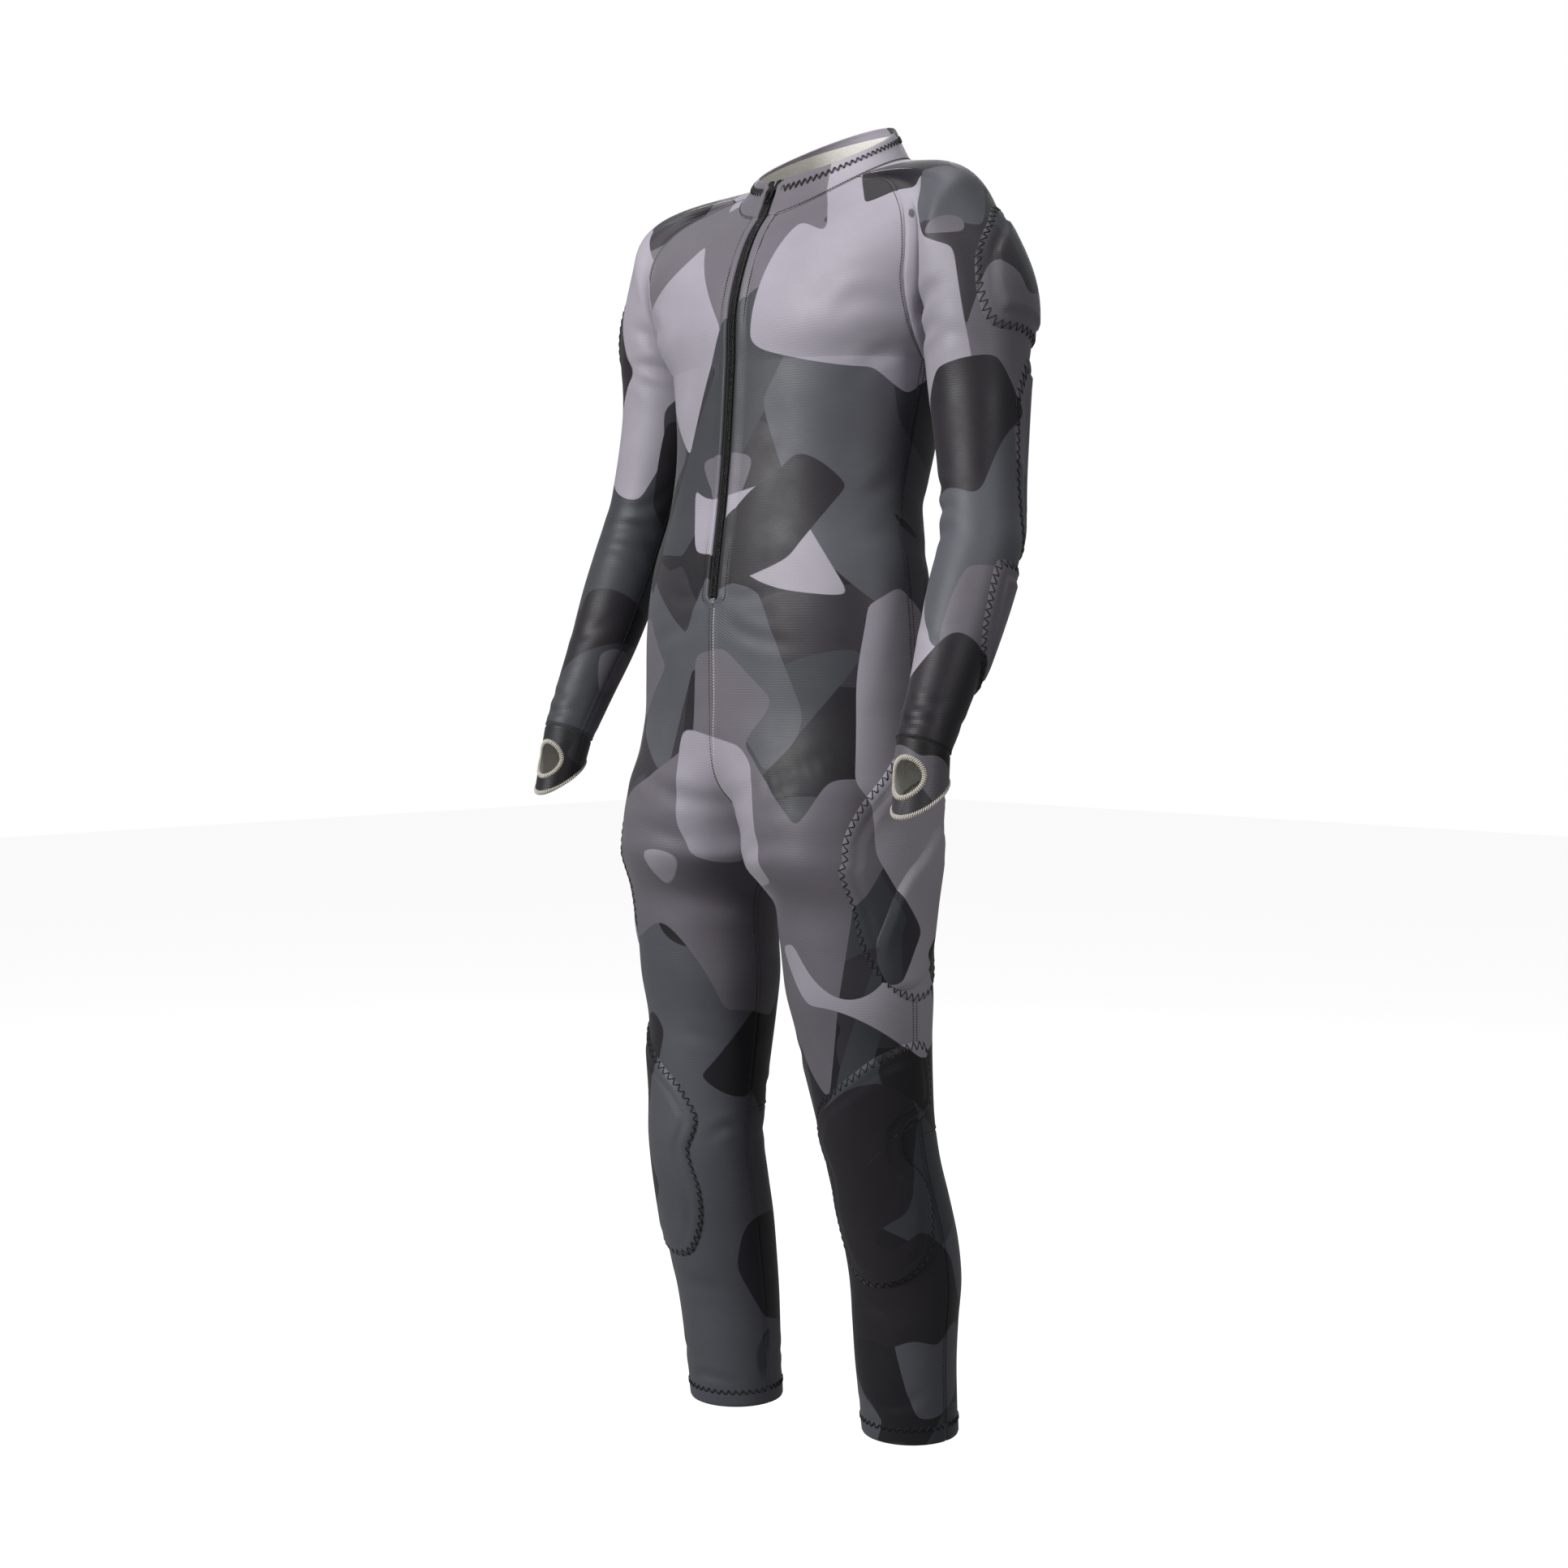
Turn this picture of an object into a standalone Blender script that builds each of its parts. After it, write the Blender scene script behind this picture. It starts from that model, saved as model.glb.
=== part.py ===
"""Ski race suit, filled out as worn with nobody in it.

The suit faces -Y and stands along Z, with its origin on the neck axis at the base of the collar.
A forward distance is minus Y. Left and right are the wearer's, so the left side is at +X.
Every piece is a wall of cloth between an outer surface and the same surface moved inwards.
"""

import math

import bpy
import mathutils
import numpy as np

# Driving sizes, in metres
CLOTH = 0.0018
SEAM_HALF = 0.00015
ARMHOLE_HALF = 0.0003
ZIP_HALF = 0.0070
ZIP_BOTTOM = -0.437
ARMPIT_LEVEL = -0.203
CROTCH_LEVEL = -0.690
KNEE_SEAM_LEVEL = -0.962
HEM_LEVEL = -1.280
LEG_X = 0.1055
PAD_LIFT = 0.0009
PAD_RIM = 0.0008
PAD_BEVEL = 0.006
PAD_STEP = 0.0015
PAD_RING_SCALE = 20
HOLE_RADIUS = 0.0195
HOLE_LEVEL = -0.599
BINDING_RADIUS = 0.0011
HOLE_X = 0.2555
HOLE_SIDES = 24
ZIP_SINK = 0.0004
ZIP_TAPE = 0.0012
ZIP_COLLAR_STEPS = 5
ZIP_STEPS = 22
SLIDER = (0.0100, 0.0036, 0.0150)
SLIDER_LEVEL = -0.026
STOP = (0.0060, 0.0014, 0.0050)
STOP_LEVEL = -0.430
SADDLE_FRONT = math.radians(68)
SADDLE_BACK = math.radians(112)

# Numbers of faces along each piece
BLOCK_COLUMNS = 10
SEAM_ROWS = 9
SADDLE_COLUMNS = 4
COLLAR_ROWS = 2
CUFF_ROWS = 4

# Trunk sections: level, outer reach, split between the legs, forward centre, front and back depth
TRUNK = (
    (-0.203, 0.157, 0.00, 0.035, 0.108, 0.108),
    (-0.285, 0.143, 0.00, 0.041, 0.108, 0.108),
    (-0.345, 0.144, 0.00, 0.055, 0.101, 0.101),
    (-0.400, 0.161, 0.00, 0.065, 0.099, 0.100),
    (-0.454, 0.169, 0.00, 0.066, 0.104, 0.105),
    (-0.517, 0.172, 0.00, 0.066, 0.104, 0.108),
    (-0.550, 0.172, 0.05, 0.066, 0.104, 0.101),
    (-0.585, 0.174, 0.27, 0.066, 0.106, 0.099),
    (-0.601, 0.176, 0.42, 0.066, 0.108, 0.098),
    (-0.618, 0.178, 0.62, 0.067, 0.110, 0.097),
    (-0.633, 0.180, 0.78, 0.068, 0.112, 0.097),
    (-0.648, 0.182, 0.88, 0.070, 0.114, 0.096),
    (-0.666, 0.185, 0.965, 0.072, 0.114, 0.095),
    (CROTCH_LEVEL, 0.187, 1.00, 0.074, 0.112, 0.092),
)

# Leg sections: level, radius, forward centre of the left and of the right leg
LEG = (
    (-0.733, 0.0815, 0.076, 0.076),
    (-0.768, 0.0765, 0.074, 0.075),
    (-0.821, 0.0730, 0.070, 0.073),
    (-0.863, 0.0675, 0.063, 0.071),
    (-0.906, 0.0635, 0.056, 0.073),
    (-0.949, 0.0595, 0.047, 0.075),
    (-0.992, 0.0580, 0.036, 0.077),
    (-1.035, 0.0585, 0.022, 0.071),
    (-1.078, 0.0585, 0.009, 0.063),
    (-1.121, 0.0570, 0.001, 0.056),
    (-1.164, 0.0540, 0.001, 0.048),
    (-1.207, 0.0518, 0.000, 0.043),
    (-1.250, 0.0500, -0.004, 0.039),
    (HEM_LEVEL, 0.0490, -0.007, 0.036),
)

# Levels of the rows of faces below the armpit
BLOCK_LEVELS = (
    -0.203, -0.244, -0.285, -0.345, -0.400, ZIP_BOTTOM, -0.480, -0.520, -0.555, -0.585, -0.610, -0.633,
    -0.650, -0.668, CROTCH_LEVEL, -0.710, -0.740, -0.780, -0.821, -0.863, -0.906, -0.935,
    KNEE_SEAM_LEVEL, -1.005, -1.050, -1.090, -1.130, -1.180, -1.230, HEM_LEVEL,
)

# Centre lines from the neck seam down to the armpit level: level, forward
FRONT_LINE = ((-0.056, 0.100), (-0.072, 0.112), (-0.100, 0.126), (-0.147, 0.140), (-0.203, 0.143))
BACK_LINE = ((0.012, -0.077), (-0.020, -0.084), (-0.070, -0.093), (-0.130, -0.089), (-0.203, -0.073))

# Armhole seams from the collar to the armpit: side, forward, level, then the way out along the sleeve
FRONT_SEAM = (
    (0.0797, 0.0443, -0.0179, 0.94, -0.10, -0.10),
    (0.120, 0.050, -0.027, 0.93, -0.22, -0.05),
    (0.154, 0.072, -0.047, 0.90, -0.38, 0.00),
    (0.173, 0.084, -0.069, 0.92, -0.35, 0.00),
    (0.179, 0.088, -0.0885, 0.93, -0.30, 0.00),
    (0.180, 0.089, -0.109, 0.93, -0.30, -0.05),
    (0.176, 0.087, -0.134, 0.90, -0.30, -0.20),
    (0.171, 0.070, -0.175, 0.70, -0.20, -0.60),
    (0.157, 0.035, -0.203, 0.50, 0.00, -0.80),
)
BACK_SEAM = (
    (0.0797, -0.0223, 0.0076, 0.91, 0.05, -0.38),
    (0.118, -0.044, -0.024, 0.90, 0.15, -0.35),
    (0.146, -0.059, -0.052, 0.88, 0.25, -0.30),
    (0.162, -0.067, -0.078, 0.90, 0.25, -0.25),
    (0.168, -0.069, -0.109, 0.92, 0.25, -0.15),
    (0.166, -0.056, -0.150, 0.88, 0.25, -0.35),
    (0.162, -0.020, -0.186, 0.65, 0.15, -0.65),
    (0.157, 0.035, -0.203, 0.50, 0.00, -0.80),
)

# The way from the armhole in towards the middle of the panel: share down the seam, side, forward, level
CHEST_WAY = (
    (0.0, -0.33, 0.84, -0.44), (0.35, -0.61, 0.61, -0.50), (0.6, -0.75, 0.62, -0.20), (0.8, -0.45, 0.88, 0.0),
    (1.0, 0.0, 1.0, 0.0),
)
BACK_WAY = (
    (0.0, -0.33, -0.84, 0.44), (0.35, -0.80, -0.58, 0.10), (0.6, -0.80, -0.58, 0.0), (0.8, -0.50, -0.86, 0.0),
    (1.0, 0.0, -1.0, 0.0),
)

# Sleeve rings: the centre's side, forward and level, the way out in the same order,
# and the way to the front as forward and level
SLEEVE_RINGS = (
    (0.197, 0.025, -0.121, 0.026, 0.015, 0.077, 0.060, 0.000),
    (0.216, 0.024, -0.175, 0.049, 0.004, 0.040, 0.058, 0.004),
    (0.221, 0.031, -0.242, 0.046, 0.000, 0.010, 0.046, 0.008),
    (0.235, 0.043, -0.321, 0.039, 0.000, 0.006, 0.039, 0.006),
    (0.242, 0.050, -0.354, 0.038, 0.000, 0.005, 0.038, 0.008),
    (0.248, 0.058, -0.386, 0.039, 0.000, 0.003, 0.038, 0.010),
    (0.249, 0.076, -0.429, 0.038, 0.000, 0.001, 0.036, 0.014),
    (0.250, 0.096, -0.476, 0.035, 0.000, 0.001, 0.032, 0.014),
    (0.252, 0.118, -0.522, 0.030, 0.000, 0.001, 0.028, 0.013),
    (0.2525, 0.133, -0.552, 0.0275, 0.000, 0.001, 0.0255, 0.012),
    (0.253, 0.143, -0.573, 0.026, 0.000, 0.000, 0.0235, 0.011),
)
CUFF_RINGS = (
    (0.253, 0.143, -0.573, 0.026, 0.000, 0.000, 0.0235, 0.0110),
    (0.257, 0.151, -0.6175, 0.024, 0.000, 0.000, 0.0290, -0.0175),
)
SLEEVE_ROWS = (0, 0.2, 0.45, 0.7, 1, 1.5, 2, 3, 4, 5, 6, 7, 8, 9, 10, 11)

# Collar rings: side reach, forward centre, depth, then the level's mean, fore-and-aft and twofold shares
COLLAR_BASE = (0.086, 0.011, 0.089, -0.0122, -0.034, -0.0098)
COLLAR_TOP = (0.066, 0.008, 0.073, 0.0195, -0.036, 0.0005)

# Pads on the trouser block: name and height, then each column's place with the pad's upper and lower level
HIP_PAD = ("hip_pad", 0.0035, (
    (-3, -0.655, -0.765), (-2.5, -0.628, -0.790), (-2, -0.608, -0.805), (-1, -0.585, -0.820),
    (0, -0.573, -0.824), (1, -0.585, -0.814), (2, -0.612, -0.786), (2.6, -0.656, -0.740)))
HIP_FIN = ("hip_fin", 0.0040, (
    (-2, -0.652, -0.740), (-1, -0.656, -0.790), (0, -0.680, -0.806), (1, -0.724, -0.808),
    (1.7, -0.760, -0.788)))
KNEE_PAD = ("knee_pad", 0.0040, (
    (-1.2, -0.866, -0.930), (0, -0.864, -0.940), (0.5, -0.865, -1.010), (1, -0.866, -1.078),
    (2, -0.873, -1.100), (3, -0.886, -1.112), (4, -0.902, -1.118), (5, -0.918, -1.116),
    (6, -0.935, -1.108), (6.9, -0.958, -1.060)))

# Pads on the sleeve: name and height, then for each column its place, and the pad's first and last ring
SHOULDER_PAD = ("shoulder_pad", 0.0035, (
    (-5, 1.50, 2.30), (-4, 1.20, 2.45), (-3, 1.12, 2.52), (-2, 1.12, 2.54), (-1, 1.15, 2.54), (0, 1.32, 2.54),
    (1, 1.48, 2.53), (2, 1.63, 2.50), (2.85, 1.95, 2.25)))
ELBOW_PAD = ("elbow_pad", 0.0030, (
    (-7, 3.3, 5.4), (-6, 2.95, 5.9), (-5, 2.75, 6.1), (-4, 2.68, 6.2), (-3, 2.68, 6.2), (-2, 2.72, 6.0),
    (-1, 2.85, 4.6), (-0.1, 3.05, 3.4)))
FOREARM_PAD = ("forearm_pad", 0.0030, (
    (-6, 6.8, 8.2), (-5, 6.55, 8.6), (-4, 6.45, 8.8), (-3, 6.4, 8.8), (-2, 6.4, 8.7), (-1, 6.4, 8.45),
    (0, 6.4, 8.17), (1, 6.45, 7.3)))

# Colours, roughness and metallic value of each kind of piece
PRINTED_CLOTH = ((0.20, 0.20, 0.23), 0.6, 0.0)
DARK_CLOTH = ((0.045, 0.040, 0.050), 0.7, 0.0)
PAD_CLOTH = ((0.26, 0.25, 0.28), 0.55, 0.0)
BLACK_TAPE = ((0.012, 0.012, 0.012), 0.6, 0.0)
BLACK_METAL = ((0.02, 0.02, 0.02), 0.35, 0.8)
PALE_THREAD = ((0.82, 0.79, 0.72), 0.9, 0.0)


def clear_scene():
    for old in list(bpy.data.objects):
        bpy.data.objects.remove(old)


def collection(name):
    made = bpy.data.collections.new(name)
    bpy.context.scene.collection.children.link(made)
    return made


def material(name, look):
    made = bpy.data.materials.new(name)
    made.use_nodes = True
    shader = made.node_tree.nodes["Principled BSDF"]
    shader.inputs["Base Color"].default_value = (*look[0], 1.0)
    shader.inputs["Roughness"].default_value = look[1]
    shader.inputs["Metallic"].default_value = look[2]
    return made


def smooth(places, values, at):
    """The value at a place on a smooth curve through the table's rows, straight on past its ends."""
    places = np.asarray(places, float)
    values = np.asarray(values, float)
    if places[0] > places[-1]:
        places = places[::-1]
        values = values[::-1]
    steps = np.diff(places)
    slopes = (np.diff(values, axis=0).T / steps).T
    ends = np.concatenate([slopes[:1], (slopes[:-1] + slopes[1:]) / 2, slopes[-1:]])
    i = int(np.clip(np.searchsorted(places, at) - 1, 0, len(steps) - 1))
    t = (at - places[i]) / steps[i]
    if t < 0:
        return values[i] + (at - places[i]) * ends[i]
    if t > 1:
        return values[i + 1] + (at - places[i + 1]) * ends[i + 1]
    hermite = (2 * t**3 - 3 * t**2 + 1, t**3 - 2 * t**2 + t, -2 * t**3 + 3 * t**2, t**3 - t**2)
    return (
        hermite[0] * values[i] + hermite[1] * steps[i] * ends[i]
        + hermite[2] * values[i + 1] + hermite[3] * steps[i] * ends[i + 1]
    )


def place(side, forward, level):
    return np.array([side, -forward, level])


def unit(vector):
    return vector / max(np.linalg.norm(vector), 1e-12)


# The trouser block: trunk and legs in one set of level sections

BLOCK_ROWS = [(z, reach, split, c, c, front, back) for z, reach, split, c, front, back in TRUNK]
BLOCK_ROWS += [(z, LEG_X + r, LEG_X / r, left, right, r, r) for z, r, left, right in LEG]
BLOCK_PLACES = [row[0] for row in BLOCK_ROWS]
BLOCK_VALUES = [row[1:] for row in BLOCK_ROWS]


def block_point(side, share, level):
    """side is 1 or -1; share is 0 at the side seam, 1 at the front centre and -1 at the back centre."""
    reach, split, left, right, front, back = smooth(BLOCK_PLACES, BLOCK_VALUES, level)
    split = max(split, 0.0)
    power = float(np.interp(level, (-0.80, CROTCH_LEVEL), (2.0, 2.2)))
    half = reach / (1 + split)
    middle = reach - half
    inner = math.acos(max(-1.0, -(split ** (power / 2))))
    angle = share * inner
    across = math.copysign(abs(math.cos(angle)) ** (2 / power), math.cos(angle))
    along = math.copysign(abs(math.sin(angle)) ** (2 / power), math.sin(angle))
    centre = left if side > 0 else right
    depth = front if share > 0 else back
    return place(side * (middle + half * across), centre + depth * along, level)


# The collar rings and the yoke between collar and armpit

def ring_point(ring, turn):
    """turn is 0 at the front and pi at the back."""
    reach, centre, depth, mean, fore, twofold = ring
    level = mean + fore * math.cos(turn) + twofold * math.cos(2 * turn)
    return place(reach * math.sin(turn), centre + depth * math.cos(turn), level)


def collar_point(turn, share):
    return (1 - share) * ring_point(COLLAR_BASE, turn) + share * ring_point(COLLAR_TOP, turn)


def seam_point(seam, share):
    """A place on an armhole seam and the way out along the sleeve there, by share of its length."""
    rows = np.array(seam)
    lengths = np.concatenate([[0], np.cumsum(np.linalg.norm(np.diff(rows[:, :3], axis=0), axis=1))])
    values = smooth(lengths / lengths[-1], rows, share)
    return place(*values[:3]), unit(place(*values[3:]))


def bezier(a, b, c, d, t):
    return (1 - t) ** 3 * a + 3 * (1 - t) ** 2 * t * b + 3 * (1 - t) * t**2 * c + t**3 * d


def yoke_row(front, share, down):
    """A point between armhole (share 0) and centre line (share 1), down from collar (0) to armpit (1)."""
    line = FRONT_LINE if front else BACK_LINE
    seam = FRONT_SEAM if front else BACK_SEAM
    way = CHEST_WAY if front else BACK_WAY
    level = line[0][0] + down * (line[-1][0] - line[0][0])
    forward = smooth([row[0] for row in line], [row[1] for row in line], level)
    centre = place(0.0, forward, level)
    edge = seam_point(seam, down)[0]
    inwards = unit(place(*smooth([row[0] for row in way], [row[1:] for row in way], down)))
    span = np.linalg.norm(centre - edge)
    return bezier(edge, edge + 0.36 * span * inwards, centre + np.array([0.40 * span, 0, 0]), centre, share)


def yoke_point(side, front, share, down):
    """The yoke's rows, bent so that the first is the neck seam and the last is the block's first section."""
    turn = SADDLE_FRONT * (1 - share) if front else SADDLE_BACK + (math.pi - SADDLE_BACK) * share
    neck = ring_point(COLLAR_BASE, turn)
    chest = block_point(1, share if front else -share, ARMPIT_LEVEL)
    point = yoke_row(front, share, down)
    point = point + (1 - down) ** 3 * (neck - yoke_row(front, share, 0.0))
    point = point + max(down, 0.0) ** 3 * (chest - yoke_row(front, share, 1.0))
    return point * np.array([side, 1, 1])


# The sleeve: from the armhole loop through the shoulder rings to the wrist

SLEEVE_COLUMNS = SADDLE_COLUMNS + 2 * SEAM_ROWS
COLUMN_TURN = 2 * math.pi / SLEEVE_COLUMNS


def hole_loop(column):
    """The armhole loop and its way out, from the middle of the collar edge down the front."""
    column = (column + SLEEVE_COLUMNS / 2) % SLEEVE_COLUMNS - SLEEVE_COLUMNS / 2
    half = SADDLE_COLUMNS / 2
    if abs(column) <= half:
        turn = math.pi / 2 - column / half * (math.pi / 2 - SADDLE_FRONT)
        return ring_point(COLLAR_BASE, turn), unit(place(0.98, 0.03, -0.08 + 0.10 * column / half))
    seam = FRONT_SEAM if column > 0 else BACK_SEAM
    return seam_point(seam, (abs(column) - half) / SEAM_ROWS)


def ring_of(rings, column, along):
    side, forward, level, *out, fore, fore_level = smooth(range(len(rings)), rings, along)
    turn = column * COLUMN_TURN
    outwards = math.cos(turn) * place(*out)
    forwards = math.sin(turn) * place(0, fore, fore_level)
    return place(side, forward, level) + outwards + forwards


def sleeve_point(side, column, along):
    """along is 0 at the armhole, 1 at the first ring and 11 at the wrist."""
    if along >= 1:
        return ring_of(SLEEVE_RINGS, column, along - 1) * np.array([side, 1, 1])
    start, way = hole_loop(column)
    end = ring_of(SLEEVE_RINGS, column, 0)
    arrival = (ring_of(SLEEVE_RINGS, column, 0.02) - end) / 0.02
    span = np.linalg.norm(end - start)
    last = min(1.0, 0.33 * span / max(np.linalg.norm(arrival) / 3, 1e-9)) * arrival
    point = bezier(start, start + 0.36 * span * way, end - last / 3, end, max(along, 0.0))
    if along < 0:
        point = start + 3 * along * 0.36 * span * way
    return point * np.array([side, 1, 1])


def cuff_point(side, column, along):
    return ring_of(CUFF_RINGS, column, along) * np.array([side, 1, 1])


# Building walls

def normals_of(outer, closed):
    """Outward directions of a grid whose rows run down the piece and whose columns run round it."""
    if closed:
        across = np.roll(outer, -1, axis=1) - np.roll(outer, 1, axis=1)
    else:
        across = np.gradient(outer, axis=1)
    down = np.gradient(outer, axis=0)
    found = np.cross(across, down)
    return found / np.maximum(np.linalg.norm(found, axis=2, keepdims=True), 1e-12)


def pull_in(outer, first_column, last_column, first_row, last_row):
    """Moves each edge of a grid in along the cloth, by one distance or by one for each point of that edge."""
    moved = outer.copy()

    def shift(edge, inside, distance):
        direction = inside - edge
        length = np.maximum(np.linalg.norm(direction, axis=1, keepdims=True), 1e-9)
        return direction / length * np.asarray(distance).reshape(-1, 1)

    if first_column is not None:
        moved[:, 0] += shift(outer[:, 0], outer[:, 1], first_column)
        moved[:, -1] += shift(outer[:, -1], outer[:, -2], last_column)
    moved[0] += shift(outer[0], outer[1], first_row)
    moved[-1] += shift(outer[-1], outer[-2], last_row)
    return moved


def wall_mesh(name, outer, inner, closed):
    """A closed mesh between two grids of points. Its faces point out where outer is left of the way down."""
    rows, columns = outer.shape[:2]
    count = rows * columns
    points = np.concatenate([outer.reshape(-1, 3), inner.reshape(-1, 3)])
    faces = []
    for row in range(rows - 1):
        for column in range(columns if closed else columns - 1):
            after = (column + 1) % columns
            a = row * columns + column
            b = row * columns + after
            c = b + columns
            d = a + columns
            faces.append((a, d, c, b))
            faces.append((a + count, b + count, c + count, d + count))
    for column in range(columns if closed else columns - 1):
        after = (column + 1) % columns
        bottom = (rows - 1) * columns
        faces.append((column, after, after + count, column + count))
        faces.append((bottom + after, bottom + column, bottom + column + count, bottom + after + count))
    if not closed:
        for row in range(rows - 1):
            a = row * columns
            b = a + columns
            faces.append((b, a, a + count, b + count))
            faces.append((a + columns - 1, b + columns - 1, b + columns - 1 + count, a + columns - 1 + count))
    mesh = bpy.data.meshes.new(name)
    mesh.from_pydata([tuple(point) for point in points], [], faces)
    return mesh


def turn_out(mesh):
    """Turns every face over if the closed mesh is inside out."""
    mesh.calc_loop_triangles()
    points = np.array([vertex.co[:] for vertex in mesh.vertices])
    corners = points[np.array([tri.vertices[:] for tri in mesh.loop_triangles])]
    if np.linalg.det(corners).sum() < 0:
        mesh.flip_normals()


def add_object(name, mesh, look, parent):
    turn_out(mesh)
    mesh.shade_smooth()
    mesh.set_sharp_from_angle(angle=math.radians(50))
    made = bpy.data.objects.new(name, mesh)
    made.data.materials.append(look)
    parent.objects.link(made)
    return made


def square_seams(outer, normal, side, first_row):
    """Sets the outward directions at the side, centre and inner leg seams, shared by both neighbours."""
    normal[first_row:, 0, 1] = 0
    normal[:, -1, 0] = side * np.minimum(side * normal[:, -1, 0], 0)
    leg = outer[:, -1, 2] < CROTCH_LEVEL + 1e-6
    normal[leg, -1, 1] = 0
    return normal / np.maximum(np.linalg.norm(normal, axis=2, keepdims=True), 1e-12)


def add_wall(name, outer, look, parent, closed=False, edges=(SEAM_HALF,) * 4, outward=None, square=None):
    """A wall of cloth under a grid of outer points; edges are how far each edge draws back from its seam."""
    normal = normals_of(outer, closed)
    if (normal * outward).sum() < 0:
        normal = -normal
    if square:
        normal = square_seams(outer, normal, *square)
    if closed:
        edges = (None, None) + tuple(edges[2:])
    moved = pull_in(outer, *edges)
    return add_object(name, wall_mesh(name, moved, moved - CLOTH * normal, closed), look, parent)


def grid(rows, columns, point):
    return np.array([[point(column, row) for column in columns] for row in rows])


def away_from_axis(outer, axis):
    """Rough outward directions, away from an upright axis at a side and forward distance for each row."""
    found = outer - axis
    found[:, :, 2] = 0
    return found


SHARES = np.linspace(0, 1, BLOCK_COLUMNS + 1)
DOWN = np.linspace(0, 1, SEAM_ROWS + 1)
SIDES = (("left", 1), ("right", -1))


def side_edge(outer):
    """How far each row of a panel draws back: more along the armhole than down the side seam."""
    return np.where(np.arange(len(outer)) < SEAM_ROWS, ARMHOLE_HALF, SEAM_HALF)


def add_body_panels(looks, parts):
    upper = [level for level in BLOCK_LEVELS[1:] if level >= KNEE_SEAM_LEVEL]
    lower = [level for level in BLOCK_LEVELS if level <= KNEE_SEAM_LEVEL]
    for word, side in SIDES:
        yoke = grid(DOWN, SHARES, lambda share, down: yoke_point(side, True, share, down))
        block = grid(BLOCK_LEVELS[1:], SHARES, lambda share, level: block_point(side, share, level))
        outer = np.concatenate([yoke, block])
        centre = np.where(outer[:, -1, 2] >= ZIP_BOTTOM - 1e-6, ZIP_HALF, SEAM_HALF)
        edges = (side_edge(outer), centre, SEAM_HALF, 0.0)
        axis = place(side * 0.08, 0.05, 0)
        outward = away_from_axis(outer, axis)
        add_wall("front_" + word, outer, looks["print"], parts, False, edges, outward, (side, SEAM_ROWS))
        yoke = grid(DOWN, SHARES, lambda share, down: yoke_point(side, False, share, down))
        block = grid(upper, SHARES, lambda share, level: block_point(side, -share, level))
        outer = np.concatenate([yoke, block])
        edges = (side_edge(outer), SEAM_HALF, SEAM_HALF, SEAM_HALF)
        outward = away_from_axis(outer, axis)
        add_wall("back_" + word, outer, looks["print"], parts, False, edges, outward, (side, SEAM_ROWS))
        outer = grid(lower, SHARES, lambda share, level: block_point(side, -share, level))
        edges = (SEAM_HALF, SEAM_HALF, SEAM_HALF, 0.0)
        axis = place(side * LEG_X, 0.03, 0)
        outward = away_from_axis(outer, axis)
        add_wall("calf_" + word, outer, looks["print"], parts, False, edges, outward, (side, 0))


def add_sleeves(looks, parts):
    columns = range(SLEEVE_COLUMNS)
    for word, side in SIDES:
        outer = grid(SLEEVE_ROWS, columns, lambda column, along: sleeve_point(side, column, along))
        outward = outer - place(side * 0.21, 0.03, -0.2)
        edges = (None, None, ARMHOLE_HALF, SEAM_HALF)
        add_wall("sleeve_" + word, outer, looks["print"], parts, True, edges, outward)


def add_collar(looks, parts):
    front = SADDLE_FRONT * (1 - SHARES[::-1])
    saddle = np.linspace(SADDLE_FRONT, SADDLE_BACK, SADDLE_COLUMNS + 1)[1:]
    back = SADDLE_BACK + (math.pi - SADDLE_BACK) * SHARES[1:]
    half = np.concatenate([front, saddle, back])
    turns = np.concatenate([half, 2 * math.pi - half[-2::-1]])
    outer = grid(np.linspace(1, 0, COLLAR_ROWS + 1), turns, lambda turn, share: collar_point(turn, share))
    edges = (ZIP_HALF, ZIP_HALF, 0.0, SEAM_HALF)
    outward = away_from_axis(outer, place(0, 0.01, 0))
    add_wall("collar", outer, looks["print"], parts, False, edges, outward)


def centre_point(level):
    """Forward distance of the front centre line from the neck seam down, at any level."""
    if level >= ARMPIT_LEVEL:
        return smooth([row[0] for row in FRONT_LINE], [row[1] for row in FRONT_LINE], level)
    return -block_point(1, 1.0, level)[1]


def add_zip(looks, parts):
    """A flat tape in the gap of the front, a slider at its top and the stop on its lower end."""
    path = [collar_point(0.0, share) for share in np.linspace(1, 0.1, ZIP_COLLAR_STEPS)]
    levels = np.linspace(FRONT_LINE[0][0], ZIP_BOTTOM + 0.001, ZIP_STEPS)
    path = np.array(path + [place(0, centre_point(level), level) for level in levels])
    down = np.gradient(path, axis=0)
    normal = np.stack([np.zeros(len(path)), down[:, 2], -down[:, 1]], axis=1)
    normal /= np.linalg.norm(normal, axis=1, keepdims=True)
    half = np.array([ZIP_HALF - SEAM_HALF * 2, 0, 0])
    front = path - ZIP_SINK * normal
    back = front - ZIP_TAPE * normal
    outer = np.stack([front - half, front + half], axis=1)
    inner = np.stack([back - half, back + half], axis=1)
    add_object("zip_tape", wall_mesh("zip_tape", outer, inner, False), looks["tape"], parts)
    for name, size, level in (("zip_slider", SLIDER, SLIDER_LEVEL), ("zip_stop", STOP, STOP_LEVEL)):
        i = int(np.argmin(abs(path[:, 2] - level)))
        out = normal[i]
        place_block(name, size, path[i] + (size[1] / 2 + 2 * SEAM_HALF) * out, out, looks["metal"], parts)


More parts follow.
